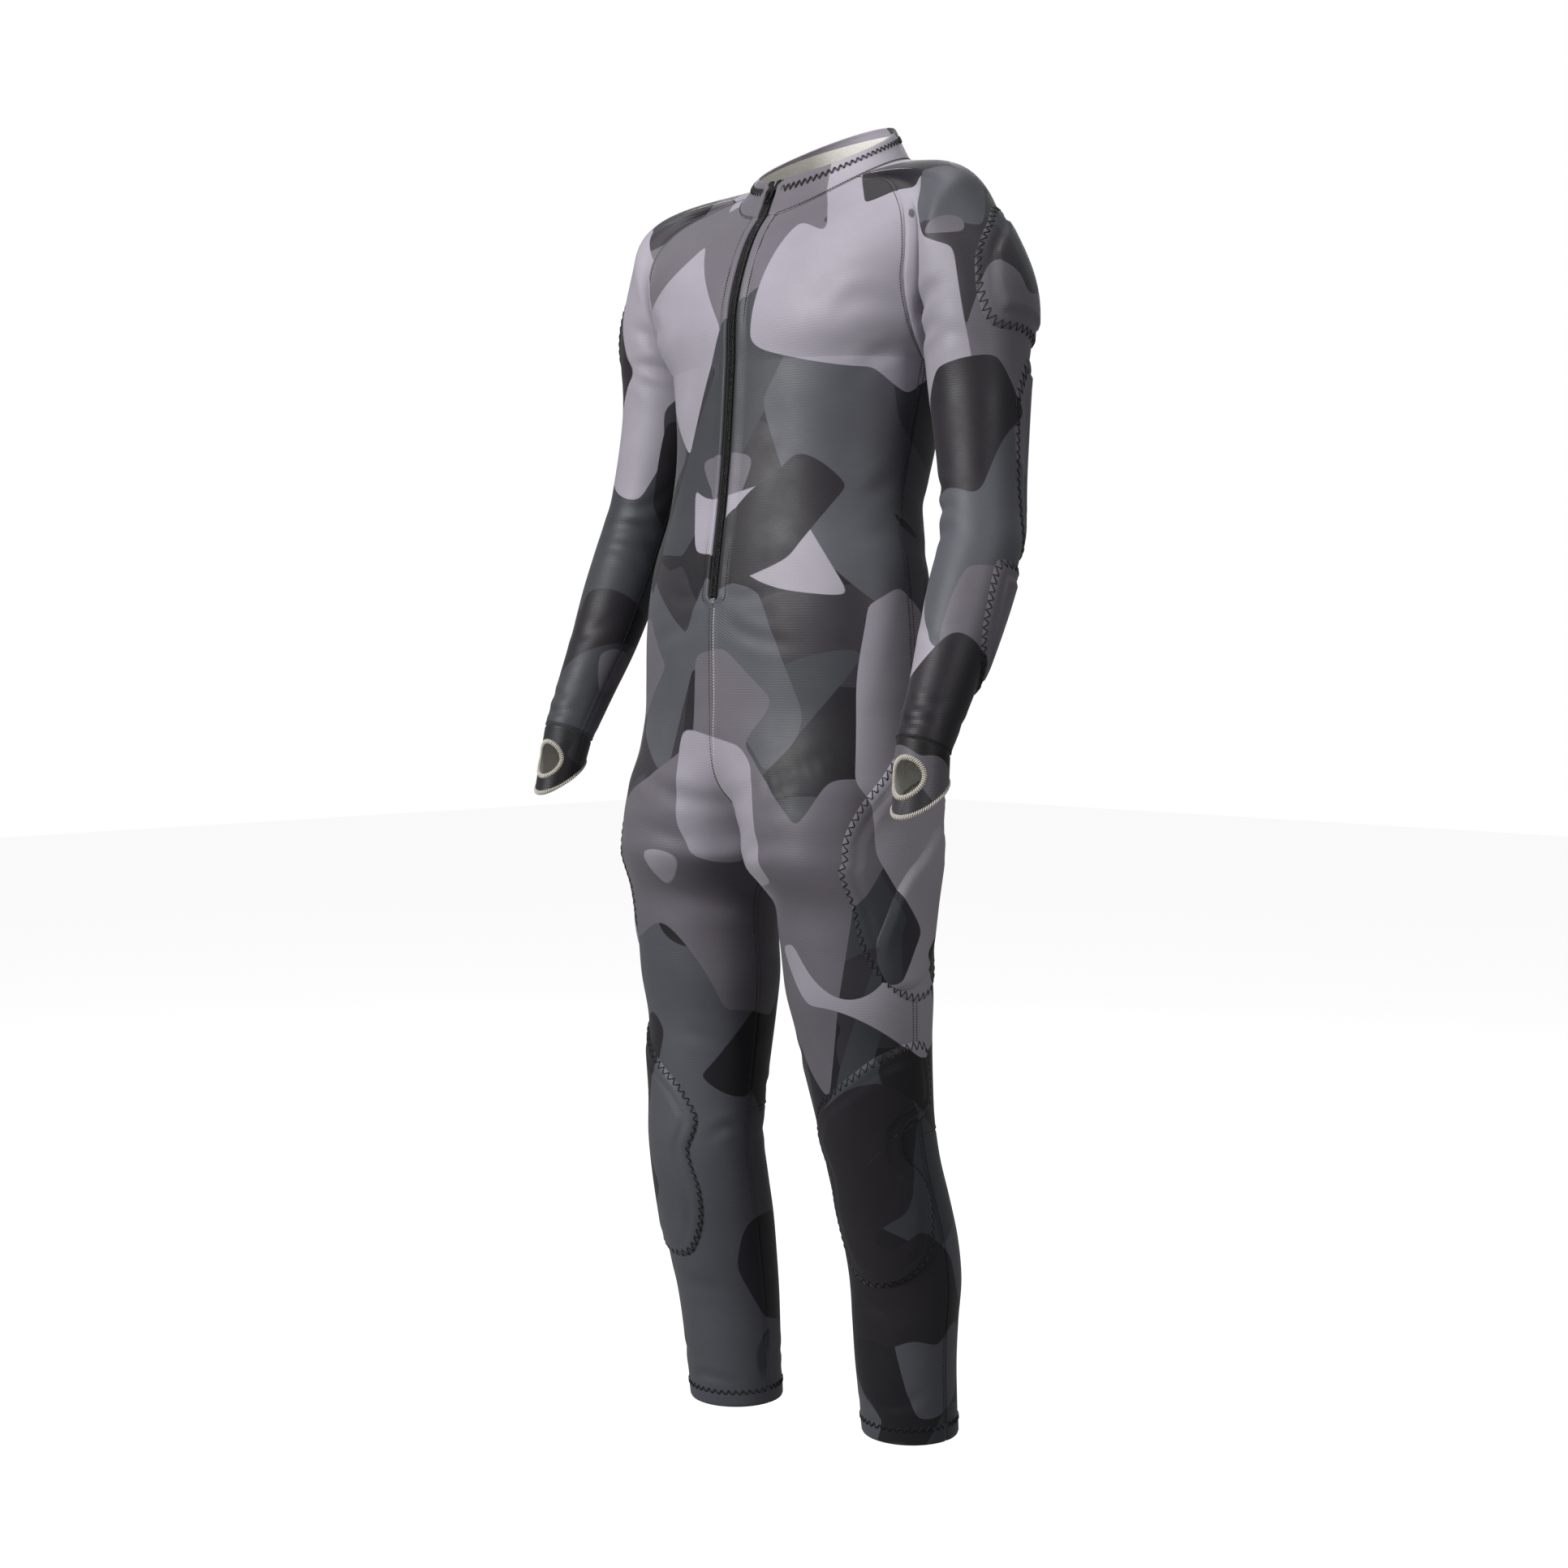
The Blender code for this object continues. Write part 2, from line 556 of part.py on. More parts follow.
def place_block(name, size, centre, out, look, parts):
    """A bevelled block with its thin way along the outward direction in the middle plane."""
    bpy.ops.mesh.primitive_cube_add(size=1)
    made = bpy.context.object
    made.name = name
    made.data.name = name
    made.data.transform(mathutils.Matrix.Diagonal((*size, 1)))
    made.location = centre
    made.rotation_euler = (math.atan2(out[2], -out[1]), 0, 0)
    made.rotation_euler.x *= -1
    bevel = made.modifiers.new("bevel", "BEVEL")
    bevel.width = min(size) / 4
    bevel.segments = 1
    made.data.materials.append(look)
    for old in made.users_collection:
        old.objects.unlink(made)
    parts.objects.link(made)


def cuff_at(side_x, level):
    """Column and place of the point of the cuff's front at a distance out and a level, by halving."""
    low, high = 0.0, 1.0
    for _ in range(40):
        along = (low + high) / 2
        row = smooth(range(2), CUFF_RINGS, along)
        turn = math.acos(max(-1.0, min(1.0, (side_x - row[0]) / row[3])))
        if row[2] + math.sin(turn) * row[7] > level:
            low = along
        else:
            high = along
    return turn / COLUMN_TURN, (low + high) / 2


def tube(name, points, radius, look, parts):
    """A closed loop of cord through a list of points."""
    data = bpy.data.curves.new(name, "CURVE")
    data.dimensions = "3D"
    data.bevel_depth = radius
    data.bevel_resolution = 0
    spline = data.splines.new("POLY")
    spline.points.add(len(points) - 1)
    for spot, point in zip(spline.points, points):
        spot.co = (*point, 1)
    spline.use_cyclic_u = True
    made = bpy.data.objects.new(name, data)
    data.materials.append(look)
    parts.objects.link(made)


def add_cuffs(looks, parts, cutters):
    """Hand bands cut through by the thumb hole, and the overlocked edges of the hole and the hand opening."""
    rows = np.linspace(0, 1, CUFF_ROWS + 1)
    for word, side in SIDES:
        outer = grid(rows, range(SLEEVE_COLUMNS), lambda column, along: cuff_point(side, column, along))
        outward = away_from_axis(outer, place(side * 0.255, 0.147, 0))
        edges = (None, None, SEAM_HALF, 0.0)
        made = add_wall("cuff_" + word, outer, looks["dark"], parts, True, edges, outward)
        bpy.ops.mesh.primitive_cylinder_add(vertices=HOLE_SIDES, radius=HOLE_RADIUS, depth=0.05)
        cutter = bpy.context.object
        cutter.name = "thumb_cutter_" + word
        cutter.rotation_euler = (math.pi / 2, 0, 0)
        cutter.location = place(side * HOLE_X, 0.18, HOLE_LEVEL)
        for old in cutter.users_collection:
            old.objects.unlink(cutter)
        cutters.objects.link(cutter)
        cutter.hide_render = True
        cutter.display_type = "WIRE"
        cut = made.modifiers.new("thumb_hole", "BOOLEAN")
        cut.operation = "DIFFERENCE"
        cut.object = cutter
        reach = HOLE_RADIUS - BINDING_RADIUS - 2 * SEAM_HALF
        loop = []
        for turn in np.linspace(0, 2 * math.pi, HOLE_SIDES, endpoint=False):
            column, along = cuff_at(HOLE_X + reach * math.cos(turn), HOLE_LEVEL + reach * math.sin(turn))
            loop.append(cuff_point(side, column, along) + np.array([0, CLOTH / 2, 0]))
        tube("thumb_binding_" + word, loop, BINDING_RADIUS, looks["thread"], parts)
        inset = 1 - CLOTH / 2 / CUFF_RINGS[-1][3]
        centre = outer[-1].mean(axis=0)
        loop = []
        for last, before in zip(outer[-1], outer[-2]):
            beyond = last + (BINDING_RADIUS + 3 * SEAM_HALF) * unit(last - before)
            loop.append(centre + (beyond - centre) * np.array([inset, inset, 1]))
        tube("hand_binding_" + word, loop, BINDING_RADIUS, looks["thread"], parts)


def pad_places(first, last, rows, ring_scale):
    """Places down a pad's column: its two ends, a bevel inside each, and the panel's own rows in between."""
    way = math.copysign(1, last - first)
    reach = abs(last - first)
    bevel = min(PAD_BEVEL * ring_scale, reach / 4)
    count = len(rows)
    step = min(PAD_STEP * ring_scale, reach / 4 / (count + 1))
    inner = []
    for i, row in enumerate(rows):
        along = (row - first) * way
        along = min(max(along, bevel + step * (i + 1)), reach - bevel - step * (count - i))
        inner.append(first + way * along)
    return [first, first + way * bevel, *inner, last - way * bevel, last]


def pad_wall(label, height, columns, rows, ring_scale, point, outward, look, parts, lift):
    """A padded piece over a panel, made from the panel's own points moved out."""
    low = min(min(row[1], row[2]) for row in columns)
    high = max(max(row[1], row[2]) for row in columns)
    rows = [row for row in rows if low < row < high]
    base = np.array([
        [point(column, place) for place in pad_places(first, last, rows, ring_scale)]
        for column, first, last in columns])
    base = base.transpose(1, 0, 2)
    normal = normals_of(base, False)
    if (normal * outward(base)).sum() < 0:
        normal = -normal
    rise = np.full(base.shape[:2], height)
    rise[0] = rise[-1] = PAD_RIM
    rise[:, 0] = rise[:, -1] = PAD_RIM
    outer = base + (lift + rise)[:, :, None] * normal
    add_object(label, wall_mesh(label, outer, base + lift * normal, False), look, parts)


def add_pads(looks, parts):
    """Pads follow the block by level and the sleeve by ring; a ring counts as 1 / PAD_RING_SCALE metres."""
    fin_lift = 3 * PAD_LIFT + HIP_PAD[1]
    look = looks["pad"]
    for word, side in SIDES:
        def on_block(column, level):
            return block_point(side, column / BLOCK_COLUMNS, level)

        def from_block(base):
            return away_from_axis(base, place(side * 0.08, 0.06, 0))

        def on_sleeve(column, along):
            return sleeve_point(side, column, along)

        def from_sleeve(base):
            return base - place(side * 0.2, 0.06, base[:, :, 2].mean())

        for (name, height, table), lift in ((HIP_PAD, PAD_LIFT), (KNEE_PAD, PAD_LIFT), (HIP_FIN, fin_lift)):
            label = name + "_" + word
            pad_wall(label, height, table, BLOCK_LEVELS, 1, on_block, from_block, look, parts, lift)
        for name, height, table in (SHOULDER_PAD, ELBOW_PAD, FOREARM_PAD):
            label = name + "_" + word
            scale = PAD_RING_SCALE
            pad_wall(label, height, table, SLEEVE_ROWS, scale, on_sleeve, from_sleeve, look, parts, PAD_LIFT)


def main():
    clear_scene()
    parts = collection("ski_race_suit")
    cutters = collection("cutters")
    looks = {
        "print": material("printed_cloth", PRINTED_CLOTH),
        "dark": material("dark_cloth", DARK_CLOTH),
        "pad": material("pad_cloth", PAD_CLOTH),
        "tape": material("zip_tape", BLACK_TAPE),
        "metal": material("zip_metal", BLACK_METAL),
        "thread": material("pale_thread", PALE_THREAD),
    }
    add_body_panels(looks, parts)
    add_sleeves(looks, parts)
    add_collar(looks, parts)
    add_zip(looks, parts)
    add_cuffs(looks, parts, cutters)
    add_pads(looks, parts)


main()
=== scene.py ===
"""Ski race suit, dressed: thin cloth shells with creases and print, stitched pads, zip, bound cuffs."""

import math

import bpy
import numpy as np
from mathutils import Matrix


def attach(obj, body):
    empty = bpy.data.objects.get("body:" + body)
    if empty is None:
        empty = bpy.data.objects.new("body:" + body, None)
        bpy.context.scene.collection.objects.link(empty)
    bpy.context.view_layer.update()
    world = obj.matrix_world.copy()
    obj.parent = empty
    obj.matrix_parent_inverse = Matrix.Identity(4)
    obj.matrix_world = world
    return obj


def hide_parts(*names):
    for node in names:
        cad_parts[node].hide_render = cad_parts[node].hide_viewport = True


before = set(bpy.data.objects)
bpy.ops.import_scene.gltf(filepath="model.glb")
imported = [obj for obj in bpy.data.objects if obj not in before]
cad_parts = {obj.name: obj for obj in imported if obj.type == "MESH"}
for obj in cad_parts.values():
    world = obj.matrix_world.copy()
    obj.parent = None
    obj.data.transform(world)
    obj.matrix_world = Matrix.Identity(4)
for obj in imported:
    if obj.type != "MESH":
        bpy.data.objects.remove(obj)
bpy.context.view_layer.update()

# Sizes of the cut, in metres. The cloth is a little thinner here than the solids' walls.
CLOTH = 0.0014
ZIP_HALF = 0.0070
ZIP_BOTTOM = -0.437
ARMPIT_LEVEL = -0.203
CROTCH_LEVEL = -0.690
KNEE_SEAM_LEVEL = -0.962
HEM_LEVEL = -1.280
LEG_X = 0.1055
HOLE_RADIUS = 0.0195
HOLE_LEVEL = -0.599
HOLE_X = 0.2555
SADDLE_FRONT = math.radians(68)
SADDLE_BACK = math.radians(112)
SEAM_ROWS = 9
SADDLE_COLUMNS = 4
SLEEVE_COLUMNS = SADDLE_COLUMNS + 2 * SEAM_ROWS
SEAM_PULL = 0.36
CENTRE_PULL = 0.40
SIDES = (("left", 1), ("right", -1))

# Trunk sections, a little slimmer at the hips than the solids': level, outer reach, split between the legs, forward
# centre, front and back depth
TRUNK = (
    (-0.203, 0.157, 0.00, 0.035, 0.108, 0.108),
    (-0.285, 0.143, 0.00, 0.041, 0.108, 0.108),
    (-0.345, 0.144, 0.00, 0.055, 0.101, 0.101),
    (-0.400, 0.161, 0.00, 0.065, 0.099, 0.100),
    (-0.454, 0.169, 0.00, 0.066, 0.104, 0.105),
    (-0.517, 0.172, 0.00, 0.066, 0.104, 0.108),
    (-0.550, 0.172, 0.05, 0.066, 0.104, 0.101),
    (-0.585, 0.174, 0.27, 0.066, 0.106, 0.099),
    (-0.601, 0.176, 0.42, 0.066, 0.108, 0.098),
    (-0.618, 0.178, 0.62, 0.067, 0.110, 0.097),
    (-0.633, 0.178, 0.78, 0.068, 0.110, 0.095),
    (-0.648, 0.178, 0.88, 0.070, 0.110, 0.092),
    (-0.666, 0.179, 0.965, 0.072, 0.108, 0.089),
    (CROTCH_LEVEL, 0.180, 1.00, 0.075, 0.105, 0.085),
)

# Leg sections: level, radius, forward centre of the left and of the right leg
LEG = (
    (-0.733, 0.0760, 0.080, 0.078),
    (-0.768, 0.0735, 0.077, 0.077),
    (-0.821, 0.0730, 0.070, 0.073),
    (-0.863, 0.0675, 0.063, 0.071),
    (-0.906, 0.0635, 0.056, 0.073),
    (-0.949, 0.0595, 0.047, 0.075),
    (-0.992, 0.0580, 0.036, 0.077),
    (-1.035, 0.0585, 0.022, 0.071),
    (-1.078, 0.0585, 0.009, 0.063),
    (-1.121, 0.0570, 0.001, 0.056),
    (-1.164, 0.0540, 0.001, 0.048),
    (-1.207, 0.0518, 0.000, 0.043),
    (-1.250, 0.0500, -0.004, 0.039),
    (HEM_LEVEL, 0.0490, -0.007, 0.036),
)
BLOCK = np.array(
    [(z, reach, split, c, c, front, back) for z, reach, split, c, front, back in TRUNK]
    + [(z, LEG_X + r, LEG_X / r, left, right, r, r) for z, r, left, right in LEG])

# Centre lines from the neck seam down to the armpit level: level, forward
FRONT_LINE = ((-0.056, 0.100), (-0.072, 0.112), (-0.100, 0.126), (-0.147, 0.140), (-0.203, 0.143))
BACK_LINE = ((0.012, -0.077), (-0.020, -0.084), (-0.070, -0.093), (-0.130, -0.089), (-0.203, -0.073))

# Armhole seams from the collar to the armpit: side, forward, level, then the way out along the sleeve
FRONT_SEAM = (
    (0.0797, 0.0443, -0.0179, 0.94, -0.10, -0.10),
    (0.120, 0.050, -0.027, 0.93, -0.22, -0.05),
    (0.154, 0.072, -0.047, 0.90, -0.38, 0.00),
    (0.173, 0.084, -0.069, 0.92, -0.35, 0.00),
    (0.179, 0.088, -0.0885, 0.93, -0.30, 0.00),
    (0.180, 0.089, -0.109, 0.93, -0.30, -0.05),
    (0.176, 0.087, -0.134, 0.90, -0.30, -0.20),
    (0.171, 0.070, -0.175, 0.70, -0.20, -0.60),
    (0.157, 0.035, -0.203, 0.50, 0.00, -0.80),
)
BACK_SEAM = (
    (0.0797, -0.0223, 0.0076, 0.91, 0.05, -0.38),
    (0.118, -0.044, -0.024, 0.90, 0.15, -0.35),
    (0.146, -0.059, -0.052, 0.88, 0.25, -0.30),
    (0.162, -0.067, -0.078, 0.90, 0.25, -0.25),
    (0.168, -0.069, -0.109, 0.92, 0.25, -0.15),
    (0.166, -0.056, -0.150, 0.88, 0.25, -0.35),
    (0.162, -0.020, -0.186, 0.65, 0.15, -0.65),
    (0.157, 0.035, -0.203, 0.50, 0.00, -0.80),
)

# The way from the armhole in towards the middle of the panel: share down the seam, side, forward, level
CHEST_WAY = (
    (0.0, -0.33, 0.84, -0.44), (0.35, -0.61, 0.61, -0.50), (0.6, -0.75, 0.62, -0.20), (0.8, -0.45, 0.88, 0.0),
    (1.0, 0.0, 1.0, 0.0),
)
BACK_WAY = (
    (0.0, -0.33, -0.84, 0.44), (0.35, -0.80, -0.58, 0.10), (0.6, -0.80, -0.58, 0.0), (0.8, -0.50, -0.86, 0.0),
    (1.0, 0.0, -1.0, 0.0),
)

# Sleeve rings: the centre's side, forward and level, the way out, and the way to the front as forward and level
SLEEVE_RINGS = (
    (0.197, 0.025, -0.121, 0.026, 0.015, 0.077, 0.060, 0.000),
    (0.216, 0.024, -0.175, 0.049, 0.004, 0.040, 0.058, 0.004),
    (0.221, 0.031, -0.242, 0.046, 0.000, 0.010, 0.046, 0.008),
    (0.235, 0.043, -0.321, 0.039, 0.000, 0.006, 0.039, 0.006),
    (0.242, 0.050, -0.354, 0.038, 0.000, 0.005, 0.038, 0.008),
    (0.248, 0.058, -0.386, 0.039, 0.000, 0.003, 0.038, 0.010),
    (0.249, 0.076, -0.429, 0.038, 0.000, 0.001, 0.036, 0.014),
    (0.250, 0.096, -0.476, 0.035, 0.000, 0.001, 0.032, 0.014),
    (0.252, 0.118, -0.522, 0.030, 0.000, 0.001, 0.028, 0.013),
    (0.2525, 0.133, -0.552, 0.0275, 0.000, 0.001, 0.0255, 0.012),
    (0.253, 0.143, -0.573, 0.026, 0.000, 0.000, 0.0235, 0.011),
)
CUFF_RINGS = (
    (0.253, 0.143, -0.573, 0.026, 0.000, 0.000, 0.0235, 0.0110),
    (0.257, 0.151, -0.6175, 0.024, 0.000, 0.000, 0.0290, -0.0175),
)

# Collar rings: side reach, forward centre, depth, then the level's mean, fore-and-aft and twofold shares
COLLAR_BASE = (0.086, 0.011, 0.089, -0.0122, -0.034, -0.0098)
COLLAR_TOP = (0.066, 0.008, 0.073, 0.0195, -0.036, 0.0005)

# Pad outlines in the surface's own coordinates: a tenth of the panel's width and a level on the block, a column and
# a ring on a sleeve
HIP_OUTLINE = (
    (1.1, -0.585), (1.7, -0.602), (2.3, -0.625), (2.62, -0.656), (2.58, -0.686), (2.62, -0.716), (2.55, -0.748),
    (2.1, -0.782), (1.4, -0.806), (0.5, -0.821), (-0.4, -0.824), (-1.3, -0.817), (-2.1, -0.800), (-2.7, -0.770),
    (-3.0, -0.730), (-3.0, -0.685), (-2.75, -0.642), (-2.2, -0.610), (-1.2, -0.586), (0.0, -0.575))
FIN_OUTLINE = (
    (-0.9, -0.658), (-0.1, -0.682), (0.6, -0.706), (1.3, -0.736), (1.75, -0.765), (1.6, -0.792), (1.0, -0.808),
    (0.1, -0.808), (-0.8, -0.795), (-1.6, -0.765), (-2.0, -0.720), (-2.0, -0.680), (-1.6, -0.656))
KNEE_OUTLINE = (
    (6.9, -0.960), (5.9, -0.931), (4.8, -0.914), (3.7, -0.898), (2.1, -0.875), (0.6, -0.864), (-0.7, -0.866),
    (-1.15, -0.895), (-1.15, -0.925), (-0.5, -0.940), (0.6, -0.944), (1.15, -0.958), (1.1, -0.980),
    (0.4, -0.998), (0.1, -1.022), (0.35, -1.050), (0.8, -1.075), (1.5, -1.093), (2.8, -1.111), (4.2, -1.118),
    (5.8, -1.112), (6.7, -1.080), (6.9, -1.045), (6.6, -1.016), (6.5, -0.998), (6.9, -0.978))
SHOULDER_OUTLINE = (
    (-2.0, 1.14), (-0.8, 1.20), (0.6, 1.43), (1.6, 1.57), (2.3, 1.70), (2.7, 1.87), (2.9, 2.07), (2.8, 2.23),
    (2.5, 2.40), (1.8, 2.51), (0.7, 2.53), (-1.1, 2.53), (-2.6, 2.52), (-4.0, 2.43), (-4.9, 2.25), (-5.1, 1.90),
    (-4.7, 1.50), (-3.6, 1.20))
ELBOW_OUTLINE = (
    (-2.0, 2.68), (-1.2, 2.74), (-0.6, 2.92), (-0.1, 3.15), (-0.3, 3.40), (-0.8, 4.20), (-1.2, 5.00),
    (-2.0, 5.80), (-3.2, 6.20), (-4.6, 6.20), (-6.0, 5.90), (-6.9, 5.20), (-7.1, 4.30), (-6.8, 3.40),
    (-5.8, 2.90), (-4.0, 2.69))
FOREARM_OUTLINE = (
    (0.2, 6.42), (1.1, 6.50), (1.2, 6.80), (1.0, 7.30), (0.7, 7.77), (0.0, 8.17), (-1.3, 8.50), (-2.4, 8.74),
    (-3.8, 8.84), (-5.2, 8.65), (-6.0, 8.10), (-6.1, 7.30), (-5.6, 6.65), (-4.2, 6.42), (-2.0, 6.38))


def smooth(rows, at):
    """Values at some places on a smooth curve through the table's rows, straight on past its ends."""
    rows = np.array(rows, float)
    rows = rows if rows[0, 0] < rows[-1, 0] else rows[::-1]
    places = rows[:, 0]
    values = rows[:, 1:]
    steps = np.diff(places)[:, None]
    slopes = np.diff(values, axis=0) / steps
    ends = np.concatenate([slopes[:1], (slopes[:-1] + slopes[1:]) / 2, slopes[-1:]])
    at = np.asarray(at, float)
    i = np.clip(np.searchsorted(places, at) - 1, 0, len(steps) - 1)
    t = (at - places[i])[..., None] / steps[i]
    c = np.clip(t, 0, 1)
    inside = (
        (2 * c**3 - 3 * c**2 + 1) * values[i] + (c**3 - 2 * c**2 + c) * steps[i] * ends[i]
        + (-2 * c**3 + 3 * c**2) * values[i + 1] + (c**3 - c**2) * steps[i] * ends[i + 1])
    return inside + (t - c) * steps[i] * np.where(t < 0, ends[i], ends[i + 1])


def place(side, forward, level):
    side, forward, level = np.broadcast_arrays(side, forward, level)
    return np.stack([side, -forward, level], axis=-1).astype(float)


def unit(vectors):
    return vectors / np.maximum(np.linalg.norm(vectors, axis=-1, keepdims=True), 1e-12)


def step01(t):
    t = np.clip(t, 0, 1)
    return t * t * (3 - 2 * t)


def bezier(a, b, c, d, t):
    return (1 - t) ** 3 * a + 3 * (1 - t) ** 2 * t * b + 3 * (1 - t) * t**2 * c + t**3 * d


def distances(points):
    """How far along a row of points each of them lies."""
    return np.concatenate([[0], np.cumsum(np.linalg.norm(np.diff(points, axis=0), axis=1))])


def along(wanted, places, values):
    """Vectors at some places along a row of them."""
    return np.column_stack([np.interp(wanted, places, values[:, k]) for k in range(values.shape[1])])


def closed_row(values):
    return np.concatenate([values, values[:1]])


# The surfaces that the cloth lies on

def signed_power(value, power):
    return np.copysign(np.abs(value) ** power, value)


def block_point(side, share, level):
    """Trunk and legs below the armpit: share runs from -1 at the back's centre, over 0 at the side, to 1 in front."""
    share, level = np.broadcast_arrays(np.asarray(share, float), np.asarray(level, float))
    reach, split, left, right, front, back = np.moveaxis(smooth(BLOCK, level), -1, 0)
    split = np.maximum(split, 0.0)
    power = np.interp(level, (-0.80, CROTCH_LEVEL), (2.0, 2.2))
    half = reach / (1 + split)
    inner = np.arccos(np.maximum(-1.0, -(split ** (power / 2))))
    angle = share * inner
    across = signed_power(np.cos(angle), 2 / power)
    along = signed_power(np.sin(angle), 2 / power)
    centre = left if side > 0 else right
    depth = np.where(share > 0, front, back)
    return place(side * (reach - half + half * across), centre + depth * along, level)


def ring_point(ring, turn):
    """A point of a collar ring, by the turn from the centre front."""
    reach, centre, depth, mean, fore, twofold = ring
    level = mean + fore * np.cos(turn) + twofold * np.cos(2 * turn)
    return place(reach * np.sin(turn), centre + depth * np.cos(turn), level)


def seam_point(seam, share):
    """A point of an armhole seam at a share of its length, and the way out along the sleeve."""
    rows = np.array(seam)
    lengths = distances(rows[:, :3])
    side, forward, level, *way = np.moveaxis(smooth(np.column_stack([lengths / lengths[-1], rows]), share), -1, 0)
    return place(side, forward, level), unit(place(*way))


def yoke_row(front, share, down):
    """The left panel above the armpit, drawn between its armhole seam and its centre line."""
    line = FRONT_LINE if front else BACK_LINE
    level = line[0][0] + down * (line[-1][0] - line[0][0])
    centre = place(0.0, smooth(line, level)[..., 0], level)
    edge = seam_point(FRONT_SEAM if front else BACK_SEAM, down)[0]
    inwards = unit(place(*np.moveaxis(smooth(CHEST_WAY if front else BACK_WAY, down), -1, 0)))
    span = np.linalg.norm(centre - edge, axis=-1, keepdims=True)
    beside_centre = centre + CENTRE_PULL * span * np.array([1, 0, 0])
    return bezier(edge, edge + SEAM_PULL * span * inwards, beside_centre, centre, share[..., None])


def yoke_point(side, front, share, down):
    """The panel above the armpit, blended into the neck seam above and the block below."""
    share, down = np.broadcast_arrays(np.asarray(share, float), np.asarray(down, float))
    turn = SADDLE_FRONT * (1 - share) if front else SADDLE_BACK + (math.pi - SADDLE_BACK) * share
    chest = block_point(1, share if front else -share, np.full(share.shape, ARMPIT_LEVEL))
    point = yoke_row(front, share, down)
    point = point + (1 - down[..., None]) ** 3 * (ring_point(COLLAR_BASE, turn) - yoke_row(front, share, 0 * down))
    point = point + np.maximum(down, 0.0)[..., None] ** 3 * (chest - yoke_row(front, share, 0 * down + 1))
    return point * np.array([side, 1, 1])


def hole_loop(column):
    """The armhole's points by the sleeve's column, over the saddle and down both seams, and the way out there."""
    column = (column + SLEEVE_COLUMNS / 2) % SLEEVE_COLUMNS - SLEEVE_COLUMNS / 2
    half = SADDLE_COLUMNS / 2
    across = np.clip(column / half, -1, 1)
    turn = math.pi / 2 - across * (math.pi / 2 - SADDLE_FRONT)
    saddle = ring_point(COLLAR_BASE, turn), unit(place(0.98, 0.03, -0.08 + 0.10 * across))
    down = np.maximum(np.abs(column) - half, 0) / SEAM_ROWS
    front = seam_point(FRONT_SEAM, down)
    back = seam_point(BACK_SEAM, down)
    on_saddle = (np.abs(column) <= half)[..., None]
    ahead = (column > 0)[..., None]
    return tuple(np.where(on_saddle, s, np.where(ahead, f, b)) for s, f, b in zip(saddle, front, back))


def ring_of(rings, column, along):
    """A point of a tube through some rings."""
    rows = [(i, *ring) for i, ring in enumerate(rings)]
    side, forward, level, out, out_fore, out_level, fore, fore_level = np.moveaxis(smooth(rows, along), -1, 0)
    turn = np.asarray(column) * (2 * math.pi / SLEEVE_COLUMNS)
    outwards = np.cos(turn)[..., None] * place(out, out_fore, out_level)
    return place(side, forward, level) + outwards + np.sin(turn)[..., None] * place(0 * fore, fore, fore_level)


def sleeve_point(side, column, along):
    """The sleeve from the armhole at 0, through its first ring at 1, to the wrist at 11."""
    column, along = np.broadcast_arrays(np.asarray(column, float), np.asarray(along, float))
    lower = ring_of(SLEEVE_RINGS, column, np.maximum(along - 1, 0))
    start, way = hole_loop(column)
    end = ring_of(SLEEVE_RINGS, column, 0 * along)
    arrival = (ring_of(SLEEVE_RINGS, column, 0 * along + 0.02) - end) / 0.02
    span = np.linalg.norm(end - start, axis=-1, keepdims=True)
    speed = np.maximum(np.linalg.norm(arrival, axis=-1, keepdims=True) / 3, 1e-9)
    last = np.minimum(1.0, 0.33 * span / speed) * arrival
    t = along[..., None]
    upper = bezier(start, start + SEAM_PULL * span * way, end - last / 3, end, np.clip(t, 0, 1))
    upper = upper + np.minimum(t, 0) * 3 * SEAM_PULL * span * way
    return np.where(t >= 1, lower, upper) * np.array([side, 1, 1])


# One form for all: surface(side, a, b) gives points, and a sign turns its normal out

LEVEL_SPAN = ARMPIT_LEVEL - HEM_LEVEL


def level_of(row):
    return ARMPIT_LEVEL - (row - 1) * LEVEL_SPAN


def row_of(level):
    return 1 + (ARMPIT_LEVEL - level) / LEVEL_SPAN


def front_half(side, share, row, front=True):
    """row is 0 at the neck seam, 1 at the armpit and 2 at the hem; share is 0 at the side and 1 at the centre."""
    share, row = np.broadcast_arrays(np.asarray(share, float), np.asarray(row, float))
    upper = yoke_point(side, front, share, np.clip(row, -0.01, 1))
    lower = block_point(side, share if front else -share, level_of(np.maximum(row, 1)))
    return np.where((row < 1)[..., None], upper, lower)


def back_half(side, share, row):
    return front_half(side, share, row, False)


def block_column(side, column, level):
    return block_point(side, np.asarray(column) / 10, level)


def collar_point(side, turn, share):
    share = np.asarray(share, float)[..., None]
    return (1 - share) * ring_point(COLLAR_BASE, turn) + share * ring_point(COLLAR_TOP, turn)


def cuff_point(side, column, along):
    column, along = np.broadcast_arrays(np.asarray(column, float), np.asarray(along, float))
    return ring_of(CUFF_RINGS, column, along) * np.array([side, 1, 1])


# The sign of the left and of the right normal, and the steps along a and b over which it is measured
NORMALS = {
    front_half: (1, -1, 0.004, 0.002),
    back_half: (-1, 1, 0.004, 0.002),
    block_column: (-1, 1, 0.03, 0.0005),
    sleeve_point: (1, -1, 0.03, 0.01),
    cuff_point: (1, -1, 0.03, 0.01),
    collar_point: (1, 1, 0.03, 0.01),
}


